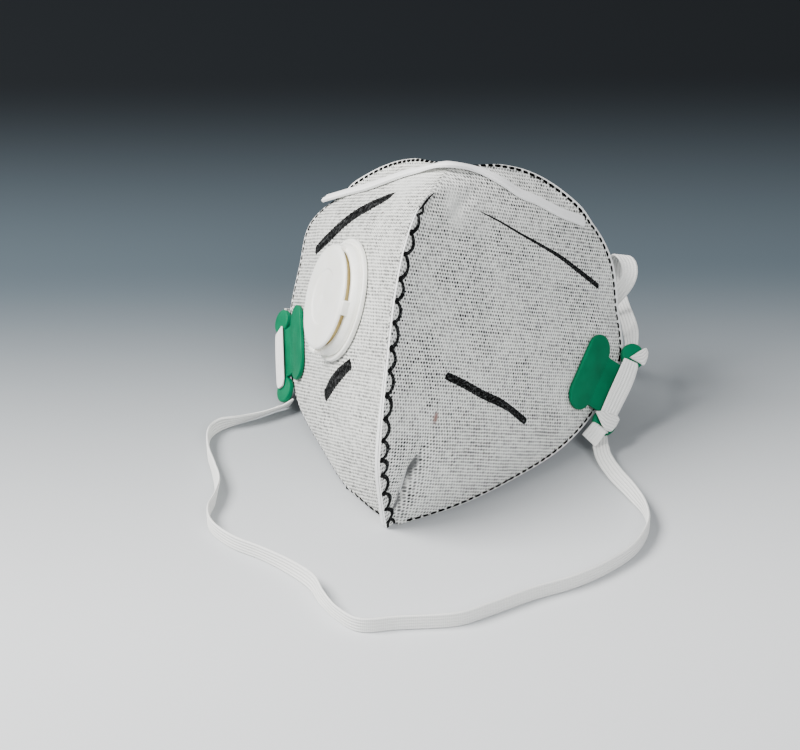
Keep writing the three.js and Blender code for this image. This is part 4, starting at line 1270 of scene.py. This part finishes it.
spokes = [valve_block(f"spoke_{turn}", size=(26, 1.6, 1.2), place=(0, 0, 1), turn=turn, bevel=0.2)
          for turn in (0, 90)]
bridges = [valve_block(f"bridge_{turn}", size=(5.2, 1.9, 3.2), place=(0, 18.3, 5.7), turn=turn, bevel=0.35)
           for turn in (18, -72, -162, 108)]
bridges.append(valve_block("snap_tab", size=(6.4, 1.6, 4.6), place=(0, 19.6, 5.3), turn=-162, bevel=0.5))
seat = joined("valve_seat_frame", [seat] + spokes)
cover = joined("valve_snap_cover", [cover_body, cover_cap] + bridges)
for part, node, part_slot in ((flange, "valve_flange", "valve"), (seat, "valve_seat", "valve"),
                              (flap, "valve_flap", "flap"), (cover, "valve_cover", "valve")):
    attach(part, "root")
    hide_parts(node)
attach(inner_ring, "root")

# ---------- Strap clips ----------
# Green moulded plastic: a long plate with round ends that lies flat on the cloth, a bent web
# over the rim, and a rear bar with a round lobe at each end that keeps the elastic on.

PLATE = (30, 12.5, 1.6)
WEB_LENGTH, WEB_THICKNESS, WEB_BEND_AT = 20, 1.5, 7.5
BAR_LENGTH, BAR_WIDTH, BAR_THICKNESS, BAR_LOBE, LOBE_THICKNESS = 38, 5, 2.0, 9.6, 2.2
BAR_SLIDE = {"right": (0.7, 1.5, 0), "left": (-0.9, 0, 0)}


def clip_matrix(side):
    """Plate axes: X outboard, Y along the clip (up on the right, down on the left), Z facing."""
    _, out, facing = clip_axes(side)
    middle = np.array(CLIPS[side]["at"]) + facing * (GAP + PLATE[2] / 2)
    matrix = Matrix.Identity(4)
    for column, axis in enumerate((out, np.cross(facing, out), facing, middle)):
        for row in range(3):
            matrix[row][column] = float(axis[row])
    return matrix


def bar_matrix(side):
    bend = Matrix.Rotation(-math.radians(CLIPS[side]["bend"]), 4, "Y")
    return (clip_matrix(side) @ Matrix.Translation((WEB_BEND_AT, 0, 0)) @ bend
            @ Matrix.Translation((CLIPS[side]["reach"], 0, 0)))


def stadium(length, width, steps=18):
    radius, straight = width / 2, (length - width) / 2
    points = []
    for k in range(2 * steps):
        turn = math.pi * (k + 0.5) / steps
        middle = straight if turn < math.pi else -straight
        points.append((math.cos(turn) * radius, middle + math.sin(turn) * radius))
    return points


def slab_piece(name, outline, thickness, matrix, bevel=0.45, axis="Z"):
    """A plate of that outline with rounded edges, centred on its thickness."""
    slab = bmesh.new()
    ring = [slab.verts.new((x, y, -thickness / 2)) for x, y in outline]
    face = slab.faces.new(ring)
    grown = bmesh.ops.extrude_face_region(slab, geom=[face])
    risen = [item for item in grown["geom"] if isinstance(item, bmesh.types.BMVert)]
    bmesh.ops.translate(slab, verts=risen, vec=(0, 0, thickness))
    bmesh.ops.recalc_face_normals(slab, faces=slab.faces)
    rims = [edge for edge in slab.edges if abs(edge.verts[0].co.z - edge.verts[1].co.z) < 1e-6]
    bmesh.ops.bevel(slab, geom=rims, offset=bevel, segments=3, affect="EDGES", profile=0.5)
    if axis == "Y":
        quarter_turn = Matrix.Rotation(math.pi / 2, 3, "X")
        bmesh.ops.rotate(slab, verts=slab.verts, cent=(0, 0, 0), matrix=quarter_turn)
    bmesh.ops.transform(slab, matrix=matrix, verts=slab.verts)
    return solid_piece(name, slab, clip_green, sharp_angle=35)


def web_outline(side):
    half = WEB_THICKNESS / 2
    bend = math.radians(CLIPS[side]["bend"])
    x = WEB_BEND_AT + CLIPS[side]["reach"] * math.cos(bend)
    z = CLIPS[side]["reach"] * math.sin(bend)
    under = [(0, -half), (WEB_BEND_AT, -half), (x, z - half)]
    return under + [(x, z + half), (WEB_BEND_AT, half), (0, half)]


clip_green = moulded("green_plastic", rgb(0, 110, 77), rgb(0, 98, 67), roughness=0.42, specular=0.07)


def clip_piece(side):
    lobe_at = (BAR_LENGTH - BAR_LOBE) / 2
    bar_at = bar_matrix(side) @ Matrix.Translation(BAR_SLIDE[side])
    parts = [
        slab_piece("plate", stadium(PLATE[0], PLATE[1]), PLATE[2], clip_matrix(side)),
        slab_piece("web", web_outline(side), WEB_LENGTH, clip_matrix(side), bevel=0.25, axis="Y"),
        slab_piece("bar", stadium(BAR_LENGTH - 4, BAR_WIDTH), BAR_THICKNESS, bar_at),
    ]
    lobe = stadium(BAR_LOBE, BAR_LOBE - 0.01)
    for place in (lobe_at, -lobe_at):
        at = bar_at @ Matrix.Translation((0, place, 0))
        parts.append(slab_piece("lobe", lobe, LOBE_THICKNESS, at, bevel=0.6))
    piece = joined(f"{side}_strap_clip", parts)
    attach(piece, "root")
    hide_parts(f"clip_{side}")


clip_piece("right")
clip_piece("left")

# ---------- Elastic wrapped on the clips ----------
# Where a headband meets its clip it is folded round the rear bar and runs along it between
# the lobes; on the right its cut end hangs down as a short tab.

# Each stretch of the wrapped band: rows of its two edges and its middle height, in the bar's
# axes; the rows of the tabs and of the leads, which join the bands, are in the mask's.
WRAP_STRETCHES = {
    "right": {
        "front": [((-3.0, 12.6), (2.9, 13.5), 1.9), ((-3.1, 10.8), (3.7, 12.2), 1.95),
                  ((-3.2, 5), (4.4, 5.3), 2.0), ((-3.3, -1.7), (4.0, -3.2), 2.0),
                  ((-3.2, -10.4), (3.6, -9.4), 1.9)],
        "top_fold": [((-0.9, 14.2), (0.6, 14.1), 1.5), ((0.5, 16.4), (3.7, 14.3), 1.6),
                     ((2.0, 18.8), (5.8, 14.6), 1.6), ((3.4, 20.7), (5.9, 17.4), 1.5),
                     ((3.9, 20.8), (5.3, 19.6), 1.4)],
        "cross_fold": [((-5.4, -11.4), (-5.0, -11.9), 2.7), ((-3.5, -10.4), (-3.4, -13.2), 2.9),
                       ((-1.4, -9.8), (-1.4, -14.7), 2.95), ((0.5, -9.2), (0.5, -15.7), 3.0),
                       ((2.9, -8.5), (2.3, -15.6), 3.0), ((3.8, -8.7), (3.6, -15.0), 2.9),
                       ((4.5, -9.2), (4.3, -12.4), 2.8)],
        "tab": [((59.4, 18.7, 10.4), (64.9, 15.7, 8.4)), ((58.9, 16.5, 11.6), (64.4, 13.5, 9.6)),
                ((57.2, 15.4, 9.3), (62.9, 11.9, 7.3)), ((55.6, 14.3, 7.2), (61.3, 10.2, 5.4))],
        "upper_lead": [((64.5, 42.9, 26.6), (69.1, 44.3, 23)), ((64.6, 44.8, 28.4), (69.3, 46.4, 25.1)),
                       ((64.4, 46.7, 30.1), (69.2, 48.5, 27.1))],
        "lower_lead": [((60.2, 11.2, 4.1), (65.7, 13.4, 4.9)), ((59.9, 15.2, 6.8), (64.7, 16.9, 5.2)),
                       ((59, 18.8, 9.8), (63.6, 20.2, 6.2))],
    },
    "left": {
        "front": [((1.4, -9.2), (-3.3, -11.2), 1.9), ((1.9, -7.4), (-3.5, -9), 1.95),
                  ((2, 0), (-3.6, 0), 2), ((1.9, 9.5), (-3.5, 9.5), 1.95),
                  ((1.5, 12.4), (-3, 12), 1.9), ((0.6, 13.4), (-2, 13.2), 1.8)],
        "tail": [((-1.2, 6, -1.9), (4.8, 6, -1.9)), ((-0.8, 14, -2.1), (5.2, 14, -2.1))],
        "tab": [((-54.6, 11.8, 5.8), (-57.4, 13.4, 1)), ((-57.1, 7.8, 5.1), (-60.3, 10.6, 1)),
                ((-59, 6, 5.1), (-62.2, 9, 1))],
    },
}


def band_between(name, rows, matrix=None, step=0.6):
    """A stretch of band between two edges; its knit is as wide as the edges are apart."""
    edges = []
    for first, second, *height in rows:
        ends = [Vector((*end, *height)) for end in (first, second)]
        edges.append([tuple(matrix @ end) if matrix else tuple(end) for end in ends])
    edges = np.array(edges)
    middles = edges.mean(axis=1)
    places, _ = even_places(middles, step)
    middle = through(middles, places)
    across = through(edges[:, 1] - edges[:, 0], places)
    return band_piece(name, middle, across, crown=0.12, under_share=0.9)


def wrap_piece(side):
    stretches = []
    for name, rows in WRAP_STRETCHES[side].items():
        in_mask_axes = name == "tab" or name.endswith("lead")
        stretches.append(band_between(name, rows, None if in_mask_axes else bar_matrix(side)))
    piece = joined(f"{side}_elastic_wrap", stretches)
    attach(piece, "root")
    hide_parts(f"band_wrap_{side}")


wrap_piece("right")
wrap_piece("left")
